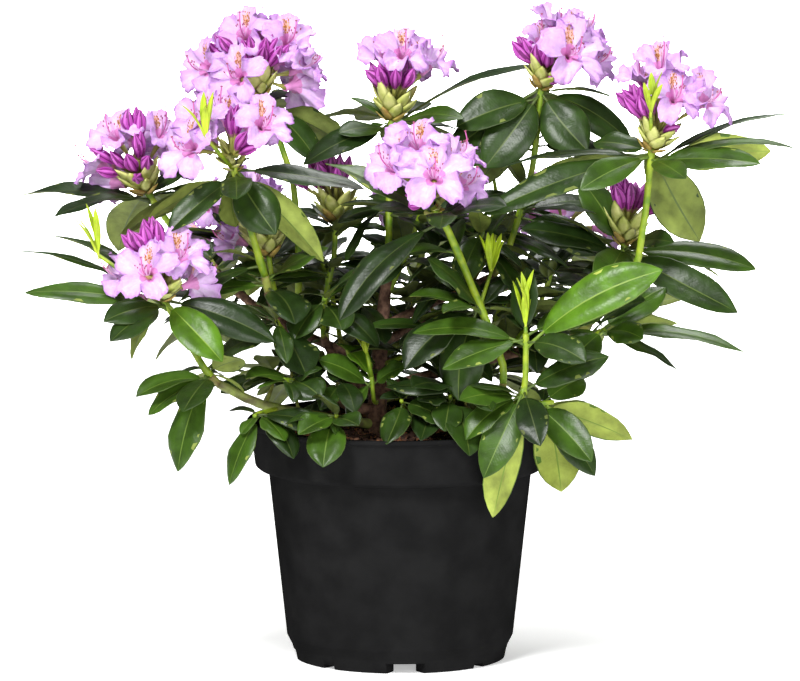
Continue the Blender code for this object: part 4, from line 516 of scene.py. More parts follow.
def floret_solid(floret):
    """A closed five-lobed trumpet on its stalk."""
    facing = floret.facing
    raised = (UP - facing * facing.z)
    raised = raised.normalized() if raised.length > 0.1 else facing.orthogonal().normalized()
    across = facing.cross(raised)
    size = floret.size
    vertices = []
    for k in range(10):
        turn = 2 * math.pi * k / 10
        radius = size * (1.0 if k % 2 == 0 else NOTCH_SHARE)
        forward = facing * size * (-0.10 if k % 2 == 0 else 0.0)
        vertices.append(floret.place + (raised * math.cos(turn) + across * math.sin(turn)) * radius + forward)
    throat = len(vertices)
    vertices.append(floret.place - facing * THROAT_DEPTH)
    for k in range(3):
        turn = 2 * math.pi * (k + 0.5) / 3
        vertices.append(floret.place - facing * TUBE_LENGTH
                        + (raised * math.cos(turn) + across * math.sin(turn)) * TUBE_RADIUS)
    vertices.append(floret.root.copy())
    faces = []
    for k in range(10):
        after = (k + 1) % 10
        here, there = throat + 1 + k * 3 // 10, throat + 1 + after * 3 // 10
        faces += [(k, after, throat), (after, k, here)]
        if here != there:
            faces.append((after, here, there))
    for k in range(3):
        faces.append((throat + 1 + k, throat + 4, throat + 1 + (k + 1) % 3))
    return outward(vertices, faces)


def head_florets(shoot, top):
    """A head's open flowers, and those that the golden angle spreads over it."""
    head = shoot.head
    chance = random.Random(shoot.name)
    axis = Vector(head.lean).normalized()
    florets = []
    for right, back, up, turn, size in head.opens:
        arm = centimetres((right, back, up))
        facing = (arm.normalized() + FRONT * turn).normalized()
        root = heart_root(top, axis, arm.normalized())
        florets.append(Floret("open", root, top + arm, facing, FLORET_RADIUS * size))
    across = axis.orthogonal().normalized()
    other = axis.cross(across)
    for k in range(head.spots):
        rise = 1 - (k + 0.4) / head.spots * 1.05
        turn = k * GOLDEN_ANGLE + chance.uniform(-0.2, 0.2)
        ring = math.sqrt(max(0.0, 1 - rise * rise))
        outwards = (axis * rise + (across * math.cos(turn) + other * math.sin(turn)) * ring).normalized()
        place = top + axis * HEART_RISE + outwards * HEAD_RADIUS * chance.uniform(0.92, 1.05)
        kind = "bud" if k in SHUT_SPOTS else "open"
        size = BUD_RADIUS if k in SHUT_SPOTS else FLORET_RADIUS * chance.uniform(0.94, 1.06)
        florets.append(Floret(kind, heart_root(top, axis, outwards), place, outwards, size))
    return florets


def bunch_buds(shoot, bunch, top):
    """The buds of one bunch, their tips spread round its middle by the golden angle."""
    axis = Vector(shoot.head.lean).normalized()
    middle = centimetres(bunch[:3])
    count, spread = bunch[3:]
    chance = random.Random(f"{shoot.name} {bunch}")
    ahead = middle.normalized()
    across = ahead.orthogonal().normalized()
    buds = []
    for k in range(count):
        share = math.sqrt((k + 0.3) / count)
        turn = k * GOLDEN_ANGLE
        beside = across * math.cos(turn) + ahead.cross(across) * math.sin(turn)
        arm = middle + (beside - ahead * share * BUNCH_DOME) * share * spread * CM
        size = BUD_RADIUS * chance.uniform(0.9, 1.15)
        root = heart_root(top, axis, arm.normalized())
        buds.append(Floret("bud", root, top + arm, arm.normalized(), size))
    return buds


def bunch_solid(shoot, bunch, top):
    """A whole bunch as one closed solid: a point at the heart, two rings, and a low point on top."""
    axis = Vector(shoot.head.lean).normalized()
    middle = centimetres(bunch[:3])
    ahead = middle.normalized()
    across = ahead.orthogonal().normalized()
    other = ahead.cross(across)
    radius = bunch[4] * CM * BUNCH_SHARE + BUD_RADIUS
    vertices = [heart_root(top, axis, ahead), top + middle]
    for share, wide in ((0.52, 0.7), (0.84, 1.0)):
        for k in range(BUNCH_SIDES):
            turn = 2 * math.pi * k / BUNCH_SIDES
            beside = across * math.cos(turn) + other * math.sin(turn)
            vertices.append(top + middle * share + beside * radius * wide)
    faces = []
    for k in range(BUNCH_SIDES):
        a, b = 2 + k, 2 + (k + 1) % BUNCH_SIDES
        faces += [(0, b, a), (a, b, b + BUNCH_SIDES, a + BUNCH_SIDES), (1, a + BUNCH_SIDES, b + BUNCH_SIDES)]
    return outward(vertices, faces)


def blossom_solids(shoot, florets, top):
    """The solids of a head's flowers, and of its bunches and single buds."""
    shapes = [floret_shape(floret) for floret in florets]
    for bunch in shoot.head.bunches:
        if bunch[3] >= WHOLE_BUNCH:
            shapes.append(bunch_solid(shoot, bunch, top))
        else:
            shapes += [floret_shape(bud) for bud in bunch_buds(shoot, bunch, top)]
    return shapes


def heart_root(top, axis, outwards):
    """Where a stalk leaves the head's scaly heart: just inside its skin, on the flower's own side."""
    return top + axis * STALK_RISE + outwards * STALK_SIDE


def floret_shape(floret):
    if floret.kind == "open":
        return floret_solid(floret)
    return spindle_solid(floret.root, floret.place, floret.size, BUD_WAIST, BUD_SIDES)


def turned(leaf, middle, degrees):
    """The leaf swung about the upright through its whorl, and raised by a tenth as much."""
    swing = math.radians(degrees)
    arm = leaf.tip - middle
    arm = Vector((arm.x * math.cos(swing) - arm.y * math.sin(swing),
                  arm.x * math.sin(swing) + arm.y * math.cos(swing),
                  arm.z + abs(swing) * TURN_RISE * arm.length))
    return leaf._replace(tip=middle + arm)


class Space:
    """Remembers the solids placed so far, so that a new leaf can be kept clear of them."""

    def __init__(self):
        self.items = []

    def add(self, owner, shape):
        vertices, faces = shape
        low = Vector(min(v[i] for v in vertices) for i in range(3))
        high = Vector(max(v[i] for v in vertices) for i in range(3))
        self.items.append((owner, low, high, BVHTree.FromPolygons(vertices, faces)))

    def free(self, owner, shape, everyone):
        """True where the shape crosses no solid of another owner, or of any owner at all."""
        vertices, faces = shape
        low = Vector(min(v[i] for v in vertices) for i in range(3))
        high = Vector(max(v[i] for v in vertices) for i in range(3))
        tree = BVHTree.FromPolygons(vertices, faces)
        for other, other_low, other_high, other_tree in self.items:
            if other == owner and not everyone:
                continue
            if any(low[i] > other_high[i] or high[i] < other_low[i] for i in range(3)):
                continue
            if tree.overlap(other_tree):
                return False
        return True


def blade_only(leaf):
    """The outer two thirds of a leaf, which shouldn't cross its own shoot's pieces either."""
    chord, face, _ = leaf_frame(leaf)
    return leaf._replace(root=leaf_point(leaf, chord, face, 0.3), bow=leaf.bow * 0.6)


def place_leaf(space, owner, leaf, middle, needed):
    """The leaf, or the first turn of it that is clear. One that is needed may cross its own shoot."""
    for everyone in ((True, False) if needed else (True,)):
        for degrees in TRIES:
            tried = turned(leaf, middle, degrees)
            if not all(space.free(owner, leaf_solid(tried, margin), False) for margin in (LEAF_MARGIN, 0.0)):
                continue
            if everyone and not space.free(owner, leaf_solid(blade_only(tried), LEAF_MARGIN), True):
                continue
            space.add(owner, leaf_solid(tried))
            return tried
    return None


def leaf_root(foot, ahead, tip, thick):
    """Where a leaf leaves the stem: inside the stem's skin, on the leaf's own side."""
    arm = tip - foot
    arm -= ahead * arm.dot(ahead)
    return foot + arm.normalized() * thick * CM * ROOT_DEPTH


def whorl_leaves(space, shoot, number, curve, aimed):
    """A whorl's leaves: the aimed ones first, and later those that a seeded rule adds."""
    whorl = shoot.whorls[number]
    middle = along(curve, whorl.at)[0]
    length = sum((b - a).length for a, b in zip(curve, curve[1:]))
    placed = []
    total = len(whorl.aims) + whorl.count
    for k in range(total):
        share = whorl.at + WHORL_DEPTH / length * ((k + 0.5) / total - 0.5)
        foot, ahead = along(curve, min(STEM_END, share))
        if k < len(whorl.aims):
            if not aimed:
                continue
            right, back, up, width, roll = whorl.aims[k]
            tip = middle + centimetres((right, back, up))
            root = leaf_root(foot, ahead, tip, shoot.thick)
            leaf = Leaf(root, tip, width * CM, roll, BOW, BLADE_STATIONS if number == 0 else PLAIN_STATIONS)
        else:
            if aimed:
                continue
            chance = random.Random(f"{shoot.name} {number} {k}")
            centre, half = whorl.fan
            step = (2 * (k - len(whorl.aims) + 0.5) / whorl.count - 1) * half
            turn = math.radians(centre + step + chance.uniform(-12, 12))
            pitch = math.radians(chance.uniform(-38, 16))
            reach = whorl.reach * CM * chance.uniform(0.8, 1.08)
            level = math.cos(pitch)
            arm = Vector((math.cos(turn) * level, math.sin(turn) * level, math.sin(pitch)))
            width = reach * SPREAD * chance.uniform(0.9, 1.15)
            tip = middle + arm * reach
            root = leaf_root(foot, ahead, tip, shoot.thick)
            leaf = Leaf(root, tip, width, chance.uniform(-25, 25), BOW, PLAIN_STATIONS)
        leaf = place_leaf(space, shoot.name, leaf, middle, k < len(whorl.aims))
        if leaf:
            placed.append((number, k, leaf))
    return placed


def young_leaves(shoot, curve):
    """The narrow upright leaves of new growth, and the short stems that carry them."""
    leaves, stems = [], []
    for at, offset, count, length in shoot.young:
        foot, ahead = along(curve, at)
        top = foot + centimetres(offset)
        stems.append((foot - ahead * 0.1 * CM, top))
        for k in range(count):
            turn = k * GOLDEN_ANGLE + 0.6
            lean = 0.30 + 0.10 * (k % 2)
            arm = Vector((math.cos(turn) * lean, math.sin(turn) * lean, 1.0))
            arm += (top - foot).normalized() * 0.5
            reach = length * CM * (1.0 - 0.08 * (k % 3))
            root = top - UP * 0.25 * CM * (k % 3 + 1) / 2
            leaves.append(Leaf(root, root + arm.normalized() * reach, YOUNG_WIDTH, 0, 0.05, PLAIN_STATIONS))
    return leaves, stems


def plan_shoots():
    """Every shoot's stem, leaves, young leaves and florets, in one shared space."""
    limbs = limb_curves()
    space = Space()
    plans = {}
    for name, (curve, foot, tip) in limbs.items():
        space.add(name, tube_solid(curve, foot, tip, LIMB_SIDES))
    space.add("pot", lathe_solid(pot_profile(), POT_STEPS))
    space.add("potting_mix", lathe_solid(soil_profile(), SOIL_STEPS))
    for shoot in SHOOTS:
        curve = shoot_curve(shoot, limbs)
        young, stems = young_leaves(shoot, curve)
        florets = head_florets(shoot, curve[-1]) if shoot.head else []
        space.add(shoot.name, tube_solid(curve, shoot.thick * CM, shoot.thick * CM * 0.9, STEM_SIDES))
        for leaf in young:
            space.add(shoot.name, leaf_solid(leaf))
        blossom = blossom_solids(shoot, florets, curve[-1]) if shoot.head else []
        for shape in blossom:
            space.add(shoot.name, shape)
        plans[shoot.name] = {"curve": curve, "young": young, "stems": stems, "florets": florets,
                             "numbered": []}
    for aimed in (True, False):
        for shoot in SHOOTS:
            plan = plans[shoot.name]
            for number in range(len(shoot.whorls)):
                plan["numbered"] += whorl_leaves(space, shoot, number, plan["curve"], aimed)
    return limbs, plans, space


def pot_profile():
    """The pot's section, from the middle of its underside round the outside and back inside."""
    inner = WALL_THICKNESS
    return (
        (0.0, 0.0), (PAD_RADIUS, 0.0), (PAD_RADIUS + 2 * MM, FOOT_HEIGHT),
        (FOOT_RING_RADIUS, FOOT_HEIGHT), (FOOT_RING_RADIUS, 0.0), (BASE_RADIUS, 0.0),
        (BASE_RIDGE_RADIUS, BASE_RIDGE), (WALL_FOOT_RADIUS, WALL_FOOT),
        (WALL_TOP_RADIUS, BAND_FOOT - 2 * MM), (BAND_FOOT_RADIUS - 3 * MM, BAND_FOOT),
        (BAND_FOOT_RADIUS, BAND_FOOT + 2.5 * MM), (BAND_TOP_RADIUS, POT_HEIGHT - LIP_DEPTH - 1 * MM),
        (LIP_RADIUS, POT_HEIGHT - LIP_DEPTH), (LIP_RADIUS, POT_HEIGHT), (BAND_TOP_RADIUS - inner, POT_HEIGHT),
        (BAND_FOOT_RADIUS - inner, BAND_FOOT + 4 * MM), (WALL_TOP_RADIUS - inner, BAND_FOOT - 2 * MM),
        (WALL_FOOT_RADIUS - inner, WALL_FOOT), (BASE_RIDGE_RADIUS - 2 * inner, FOOT_HEIGHT + inner),
        (0.0, FOOT_HEIGHT + inner),
    )


def soil_profile():
    """The potting mix: the pot's inside, 0.3 mm clear of it, up to the top of the mix."""
    inner = WALL_THICKNESS + 1.3 * GAP
    band = BAND_FOOT_RADIUS - inner + (BAND_TOP_RADIUS - BAND_FOOT_RADIUS) * (
        (SOIL_TOP - BAND_FOOT) / (POT_HEIGHT - BAND_FOOT))
    rings = tuple((band * share, SOIL_TOP) for share in SOIL_RINGS)
    return (
        (0.0, FOOT_HEIGHT + inner), (BASE_RIDGE_RADIUS - 2 * inner, FOOT_HEIGHT + inner),
        (WALL_FOOT_RADIUS - inner, WALL_FOOT + GAP), (WALL_TOP_RADIUS - inner, BAND_FOOT - 2 * MM + GAP),
        (BAND_FOOT_RADIUS - inner, BAND_FOOT + 4 * MM + 2 * GAP), (band, SOIL_TOP - 1 * MM),
    ) + rings + ((0.0, SOIL_TOP),)


def lathe_solid(profile, steps):
    """A closed solid turned about the Z axis from a profile that starts and ends on the axis."""
    vertices = [Vector((0.0, 0.0, profile[0][1])), Vector((0.0, 0.0, profile[-1][1]))]
    rings = profile[1:-1]
    for radius, height in rings:
        for k in range(steps):
            turn = 2 * math.pi * k / steps
            vertices.append(Vector((radius * math.cos(turn), radius * math.sin(turn), height)))
    faces = []
    for k in range(steps):
        after = (k + 1) % steps
        faces.append((0, 2 + after, 2 + k))
        last = 2 + (len(rings) - 1) * steps
        faces.append((1, last + k, last + after))
        for ring in range(len(rings) - 1):
            a, b = 2 + ring * steps + k, 2 + ring * steps + after
            faces.append((a, b, b + steps, a + steps))
    return outward(vertices, faces)

# Finer growth that only the looks carry
FINER_LEAVES = 4                # smaller leaves tried between those of a seeded whorl
FINER_REACH = (0.5, 0.82)       # their length over the whorl's
TWIG_PLACES = (0.3, 0.5, 0.7, 0.9)              # where side twigs leave a bough
TWIG_LENGTH = 3.2 * CM
TWIG_LEAVES = 6
TWIG_REACH = 6.2

# Leaf detail
LEAF_ROWS = 13
LEAF_COLUMNS = (-1.0, -0.95, -0.66, -0.34, -0.035, 0.035, 0.34, 0.66, 0.95, 1.0)
PETIOLE_SHARE = 0.13
PETIOLE_RADIUS = 0.16 * CM
BLADE_THICKNESS = 0.45 * MM
RIB_DEPTH = 0.5 * MM

# Flower detail
PETAL_GAIN = 1.36               # a corolla's reach over that of its solid
PETAL_TUBE = 2.5 * CM
THROAT_RADIUS = 0.28 * CM
THROAT_REACH = 1.5 * CM         # depth of the bowl between the lobes
FLARE_START = 0.28              # share of a petal's run that is tube
LOBES = 5
LOBE_TURN = 2 * math.pi / LOBES
LOBE_NOTCH = 0.55               # radius between two lobes over the radius at a lobe
LOBE_OVERLAP = 0.30             # how far a lobe's edges stand before and behind its neighbours
PETAL_COLUMNS = 100
PETAL_ROWS = 12
THROAT_END = 0.16               # share of the open part that has the throat's pink
PINK, PEACH = 6, 7              # slots of the throat and of the upper lobe's flare
PETAL_THICKNESS = 0.3 * MM
STAMENS = 8
PISTIL_LENGTH = 2.9 * CM
FLECKS = 46
BUD_LENGTH = 2.8 * CM
BUD_COLUMNS = 20
BUD_ROWS = 10

# Upper side, rib, underside and rim of a leaf; the rim is a lighter green, painted backlight along the margin
FOLIAGE_TINTS = {
    "dark": ((0.011, 0.026, 0.004), (0.045, 0.070, 0.010), (0.11, 0.14, 0.028), (0.030, 0.052, 0.010)),
    "deep": ((0.019, 0.044, 0.005), (0.070, 0.110, 0.014), (0.15, 0.19, 0.035), (0.045, 0.080, 0.012)),
    "green": ((0.034, 0.078, 0.006), (0.100, 0.170, 0.018), (0.20, 0.25, 0.045), (0.070, 0.125, 0.014)),
    "fresh": ((0.070, 0.160, 0.008), (0.180, 0.290, 0.025), (0.33, 0.40, 0.070), (0.120, 0.210, 0.020)),
    "young": ((0.360, 0.500, 0.015), (0.46, 0.56, 0.05), (0.38, 0.48, 0.03), (0.40, 0.50, 0.03)),
}


class Pile:
    """Gathers faces, each with a material slot, and makes one joined mesh of them."""

    def __init__(self):
        self.vertices = []
        self.places = []
        self.faces = []
        self.slots = []

    def add(self, vertices, faces, slots, places=None):
        first = len(self.vertices)
        self.vertices += vertices
        self.places += places or [(0.0, 0.0)] * len(vertices)
        self.faces += [tuple(first + i for i in face) for face in faces]
        self.slots += slots if isinstance(slots, list) else [slots] * len(faces)

    def make(self, name, materials, slot, smooth=True):
        mesh = bpy.data.meshes.new(name)
        mesh.from_pydata([tuple(v) for v in self.vertices], [], self.faces)
        for material in materials:
            mesh.materials.append(material)
        mesh.polygons.foreach_set("material_index", self.slots)
        mesh.polygons.foreach_set("use_smooth", [smooth] * len(self.faces))
        layer = mesh.uv_layers.new(name="place")
        corners = [value for face in self.faces for i in face for value in self.places[i]]
        layer.data.foreach_set("uv", corners)
        mesh.update()
        made = bpy.data.objects.new(name, mesh)
        bpy.context.scene.collection.objects.link(made)
        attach(made, "root")
        return made


def grid_faces(rows, columns, wrap):
    """Quads between the points of a grid that is numbered row by row."""
    faces = []
    for r in range(rows - 1):
        for c in range(columns if wrap else columns - 1):
            d = (c + 1) % columns
            faces.append((r * columns + c, r * columns + d, (r + 1) * columns + d, (r + 1) * columns + c))
    return faces


def add_tube(pile, points, radii, sides, slot):
    """A closed tube of round section round the points."""
    vertices = []
    across = None
    for i, point in enumerate(points):
        ahead = (points[min(i + 1, len(points) - 1)] - points[max(i - 1, 0)]).normalized()
        across = across or (FRONT if abs(ahead.dot(FRONT)) < 0.8 else UP)
        across = (across - ahead * across.dot(ahead)).normalized()
        other = ahead.cross(across)
        for k in range(sides):
            turn = 2 * math.pi * k / sides
            vertices.append(point + (across * math.cos(turn) + other * math.sin(turn)) * radii[i])
    faces = grid_faces(len(points), sides, True)
    faces += [tuple(range(sides))[::-1], tuple(range(len(vertices) - sides, len(vertices)))]
    pile.add(vertices, faces, slot)


def blade_width(share):
    """Half width of a blade over its greatest, at a share of its length: blunt at the foot, pointed ahead."""
    swell = max(0.0, 1.0 - (2.0 * share ** 1.08 - 1.0) ** 2)
    return max(0.015, swell ** (0.58 + 0.30 * share * share))


def add_leaf(pile, leaf, chance, fold=(0.15, 0.55)):
    """A leathery blade on its stalk: upper side, pale midrib and underside in slots 0, 1 and 2."""
    chord, face, side = leaf_frame(leaf)
    length = chord.length
    folded = chance.uniform(*fold)
    curled = folded * chance.uniform(0.4, 1.3)
    sway = chance.uniform(-0.045, 0.045) * length
    droop = chance.uniform(-0.01, 0.05) * length
    twist = chance.uniform(-0.55, 0.55)
    wave = chance.uniform(0.03, 0.15)
    ripples = chance.uniform(7.0, 13.0)
    phase = chance.uniform(0, 6)

    def middle(share):
        bent = side * (sway * math.sin(math.pi * share)) - face * (droop * share ** 3)
        return leaf_point(leaf, chord, face, share) + bent

    top, under, places = [], [], []
    columns = len(LEAF_COLUMNS)
    for row in range(LEAF_ROWS):
        along_blade = 0.5 - 0.5 * math.cos(math.pi * row / (LEAF_ROWS - 1))
        share = PETIOLE_SHARE + (1 - PETIOLE_SHARE) * along_blade
        ahead = (middle(share + 0.01) - middle(share - 0.01)).normalized()
        turn = twist * (along_blade - 0.4)
        normal = (face * math.cos(turn) + side * math.sin(turn))
        normal = (normal - ahead * normal.dot(ahead)).normalized()
        across = ahead.cross(normal)
        half = leaf.width * 0.5 * blade_width(along_blade)
        for u in LEAF_COLUMNS:
            away = abs(u)
            lift = half * (folded * away - curled * away ** 3)
            lift += half * wave * away * away * math.sin(phase + ripples * along_blade + (1.7 if u > 0 else 0.0))
            point = middle(share) + across * (u * half) + normal * lift
            top.append(point)
            places.append((0.5 + 0.5 * u, along_blade))
            thick = BLADE_THICKNESS * (1 - away ** 4)
            if away < 0.1:
                thick += RIB_DEPTH * (1 - along_blade)
                point = point - normal * 0.25 * MM
            under.append(point - normal * thick)
    vertices = list(top)
    number = {}
    for row in range(1, LEAF_ROWS - 1):
        for column in range(1, columns - 1):
            number[row * columns + column] = len(vertices)
            vertices.append(under[row * columns + column])
            places.append(places[row * columns + column])
    upper = grid_faces(LEAF_ROWS, columns, False)
    lower = [tuple(number.get(i, i) for i in reversed(f)) for f in upper]
    rib = columns // 2 - 1
    # Slot 3 is the outermost strip on each side, given the lighter rim green: painted backlight along the leaf's
    # margin.
    rims = (0, columns - 2)
    slots = [1 if f[0] % columns == rib else 3 if f[0] % columns in rims else 0 for f in upper]
    slots += [1 if f[0] % columns == rib else 3 if f[0] % columns in rims else 2 for f in upper]
    pile.add(vertices, upper + lower, slots, places)
    size = min(1.0, length / (9 * CM))
    stalk = [middle(s) for s in (0.0, 0.04, 0.08, PETIOLE_SHARE + 0.015)]
    pile.add(*tube_shape(stalk, [PETIOLE_RADIUS * size * r for r in (1.3, 1.05, 0.9, 0.75)], 6), 1)


def tube_shape(points, radii, sides):
    pile = Pile()
    add_tube(pile, points, radii, sides, 0)
    return pile.vertices, pile.faces


def flower_axes(facing):
    raised = UP - facing * facing.z
    raised = raised.normalized() if raised.length > 0.1 else facing.orthogonal().normalized()
    return raised, raised.cross(facing)


Corolla = namedtuple("Corolla", "place facing raised across size lobes ripple")


def lobe_place(turn):
    """The number of the lobe at a turn round the corolla, and the place across it from -0.5 to 0.5."""
    around = turn / LOBE_TURN
    return round(around) % LOBES, around - round(around)


def petal_point(corolla, share, turn):
    """A point of the corolla: share 0 at the foot of its tube, 1 at the edge; turn 0 is the upper lobe."""
    number, across_lobe = lobe_place(turn)
    long, back, tilt, sweep = corolla.lobes[number]
    middle = 1 - abs(2 * across_lobe) ** 2.4
    if share < FLARE_START:
        x = share / FLARE_START
        radius = THROAT_RADIUS * (0.8 + 0.5 * x)
        forward = -PETAL_TUBE + (PETAL_TUBE - THROAT_REACH) * x
    else:
        x = (share - FLARE_START) / (1 - FLARE_START)
        first, second, third = corolla.ripple
        edge = corolla.size * (LOBE_NOTCH + (long - LOBE_NOTCH) * middle)
        edge *= 1 + 0.03 * math.sin(17 * turn + first) + 0.02 * math.sin(41 * turn + second)
        radius = THROAT_RADIUS * 1.3 + (edge - THROAT_RADIUS * 1.3) * x ** 0.92
        forward = -THROAT_REACH * (1 - x) ** 1.6
        forward -= corolla.size * back * x ** 2.4 * middle
        forward += corolla.size * (tilt + LOBE_OVERLAP) * across_lobe * x ** 1.4
        ruffle = math.sin(15 * turn + second) + 0.7 * math.sin(27 * turn + third) + 0.5 * math.sin(44 * turn + first)
        forward += 0.105 * CM * ruffle * x ** 2.2
        forward -= 0.14 * CM * math.exp(-(across_lobe / 0.10) ** 2) * math.sin(math.pi * min(1.0, x * 1.08))
        turn += sweep * x * x
    around = corolla.raised * math.cos(turn) + corolla.across * math.sin(turn)
    return corolla.place + around * radius + corolla.facing * forward


def petal_tone(corolla, share, turn, chance):
    """The slot of a petal's face: paler inside, darker to its edges, with a peach flare on the upper lobe."""
    number, across_lobe = lobe_place(turn)
    x = (share - FLARE_START) / (1 - FLARE_START)
    if x < THROAT_END + 0.05 * chance.random():
        return PINK
    flare = 1.6 * abs(across_lobe) + 0.9 * abs(x - 0.36)
    if number == 0 and flare < 0.20 + 0.22 * chance.random():
        return PEACH
    tone = 0.3 + 3.4 * x ** 2.6 + 1.3 * abs(2 * across_lobe) ** 3 * x
    tone += 0.6 * math.sin(53 * turn + corolla.ripple[0]) ** 2 * (1 - 0.5 * x)
    return max(0, min(PINK - 1, int(tone + chance.random())))


def add_flower(petals, details, floret, chance):
    """An open flower: five ruffled lobes on a tube, a flecked upper lobe, stamens and a pistil."""
    facing = floret.facing
    raised, across = flower_axes(facing)
    lobes = [(chance.uniform(0.93, 1.07), chance.uniform(0.05, 0.42), chance.uniform(-0.10, 0.16),
              chance.uniform(-0.10, 0.10)) for _ in range(LOBES)]
    corolla = Corolla(floret.place, facing, raised, across, floret.size * PETAL_GAIN * chance.uniform(0.96, 1.04),
                      lobes, [chance.uniform(0, 6.28) for _ in range(3)])
    shares = [(row / (PETAL_ROWS - 1)) ** 0.9 for row in range(PETAL_ROWS)]
    turns = [2 * math.pi * column / PETAL_COLUMNS for column in range(PETAL_COLUMNS)]
    vertices = [petal_point(corolla, share, turn) for share in shares for turn in turns]
    faces = grid_faces(PETAL_ROWS, PETAL_COLUMNS, True)
    slots = [petal_tone(corolla, (a + b) / 2, turn + math.pi / PETAL_COLUMNS, chance)
             for a, b in zip(shares, shares[1:]) for turn in turns]
    petals.add(vertices, faces, slots)
    base = floret.place - facing * PETAL_TUBE
    stalk = [floret.root, floret.root.lerp(base, 0.5) + UP * 0.1 * CM, base + facing * 0.25 * CM]
    add_tube(details, stalk, [0.13 * CM, 0.12 * CM, 0.26 * CM], 8, 0)
    for k in range(FLECKS):
        x = chance.triangular(0.14, 0.80, 0.34)
        turn = chance.uniform(-1, 1) * LOBE_TURN * (0.30 - 0.24 * x)
        share = FLARE_START + (1 - FLARE_START) * x
        add_fleck(details, petal_point(corolla, share, turn), petal_point(corolla, share - 0.05, turn),
                  facing, chance)
    throat = floret.place - facing * THROAT_REACH
    for k in range(STAMENS):
        spread = (k + 0.5) / STAMENS - 0.5
        reach = chance.uniform(1.4, 2.3) * CM
        sideways = across * (spread * chance.uniform(0.9, 1.5) * CM)
        drop = chance.uniform(-1.0, -0.6) * CM
        path = []
        for i in range(6):
            q = i / 5
            path.append(throat + facing * reach * q + sideways * q + raised * (drop * q + 0.8 * CM * q ** 3))
        add_tube(details, path, [0.42 * MM, 0.4 * MM, 0.38 * MM, 0.36 * MM, 0.32 * MM, 0.28 * MM], 4, 2)
        tip = (path[-1] - path[-2]).normalized()
        turned_tip = (tip + across * chance.uniform(-0.6, 0.6)).normalized()
        add_bead(details, path[-1] + tip * 0.6 * MM, turned_tip, 1.2 * MM, 0.6 * MM, 3)
    path = []
    for i in range(8):
        q = i / 7
        path.append(throat + facing * PISTIL_LENGTH * q + raised * (-1.1 * q + 1.6 * q ** 3) * CM)
    add_tube(details, path, [0.55 * MM] * 7 + [0.5 * MM], 5, 4)
    add_bead(details, path[-1], (path[-1] - path[-2]).normalized(), 0.8 * MM, 1.1 * MM, 3)


def add_fleck(details, spot, inner, facing, chance):
    """A small golden or rusty fleck lying on a petal, long in the direction of its veins."""
    ray = (spot - inner).normalized()
    beside = ray.cross(facing).normalized()
    lift = beside.cross(ray).normalized()
    lift = lift if lift.dot(facing) > 0 else -lift
    centre = spot + lift * 0.35 * MM
    long, wide = chance.uniform(0.6, 1.3) * MM, chance.uniform(0.3, 0.6) * MM
    corners = [centre + ray * long, centre + beside * wide, centre - ray * long, centre - beside * wide]
    peak = centre + lift * 0.2 * MM
    details.add(corners + [peak, centre - lift * 0.6 * MM],
                [(0, 1, 4), (1, 2, 4), (2, 3, 4), (3, 0, 4), (1, 0, 5), (2, 1, 5), (3, 2, 5), (0, 3, 5)],
                chance.choice((1, 1, 5)))


def add_bead(pile, centre, axis, long, wide, slot):
    """A small pointed bead: two rings between two ends."""
    across = axis.orthogonal().normalized()
    other = axis.cross(across)
    vertices = [centre - axis * long]
    for forward in (-0.45, 0.45):
        for k in range(6):
            turn = 2 * math.pi * k / 6
            vertices.append(centre + axis * long * forward
                            + (across * math.cos(turn) + other * math.sin(turn)) * wide)
    vertices.append(centre + axis * long)
    faces = []
    for k in range(6):
        a, b = 1 + k, 1 + (k + 1) % 6
        faces += [(0, b, a), (a, b, b + 6, a + 6), (13, a + 6, b + 6)]
    pile.add(vertices, faces, slot)


def add_bud(buds, details, floret, chance):
    """A closed flower: a pleated, pointed spindle of magenta on a pale stalk, with painted shade in its creases and
    painted highlights on its ridges.
    """
    ahead = (floret.place - floret.root)
    length = min(BUD_LENGTH * chance.uniform(0.78, 1.08), ahead.length * 0.85)
    axis = ahead.normalized()
    across = axis.orthogonal().normalized()
    other = axis.cross(across)
    foot = floret.place - axis * length
    thick = BUD_RADIUS * chance.uniform(0.74, 0.96)
    twist = chance.uniform(0.4, 1.3)
    bend = across * chance.uniform(-0.2, 0.2) * CM + other * chance.uniform(-0.2, 0.2) * CM
    vertices = []
    for row in range(BUD_ROWS):
        q = row / (BUD_ROWS - 1)
        swell = 0.30 * (1 - q) + math.sin(math.pi * q ** 1.15) ** 1.1 + 0.05
        for k in range(BUD_COLUMNS):
            turn = 2 * math.pi * k / BUD_COLUMNS
            radius = thick * swell * (1 + 0.16 * math.cos(5 * turn + twist * 3 * q))
            vertices.append(foot + axis * length * q + bend * math.sin(math.pi * q)
                            + (across * math.cos(turn) + other * math.sin(turn)) * radius)
    faces = grid_faces(BUD_ROWS, BUD_COLUMNS, True)
    faces += [tuple(range(BUD_COLUMNS))[::-1],
              tuple(range(len(vertices) - BUD_COLUMNS, len(vertices)))]
    # Slot 2 darkens the creases of the pleats as painted shade; slot 3 lightens their ridges as a painted highlight.
    slots = []
    for row in range(BUD_ROWS - 1):
        for k in range(BUD_COLUMNS):
            pleat = math.cos(5 * 2 * math.pi * (k + 0.5) / BUD_COLUMNS + twist * 3 * row / BUD_ROWS)
            slots.append(0 if row == 0 else 3 if pleat > 0.6 and row > 2 else 1 if pleat > -0.35 else 2)
    slots += [0, 2]
    buds.add(vertices, faces, slots)
    add_tube(details, [floret.root, floret.root.lerp(foot, 0.6), foot + axis * 0.12 * CM],
             [0.14 * CM, 0.13 * CM, 0.17 * CM], 8, 0)


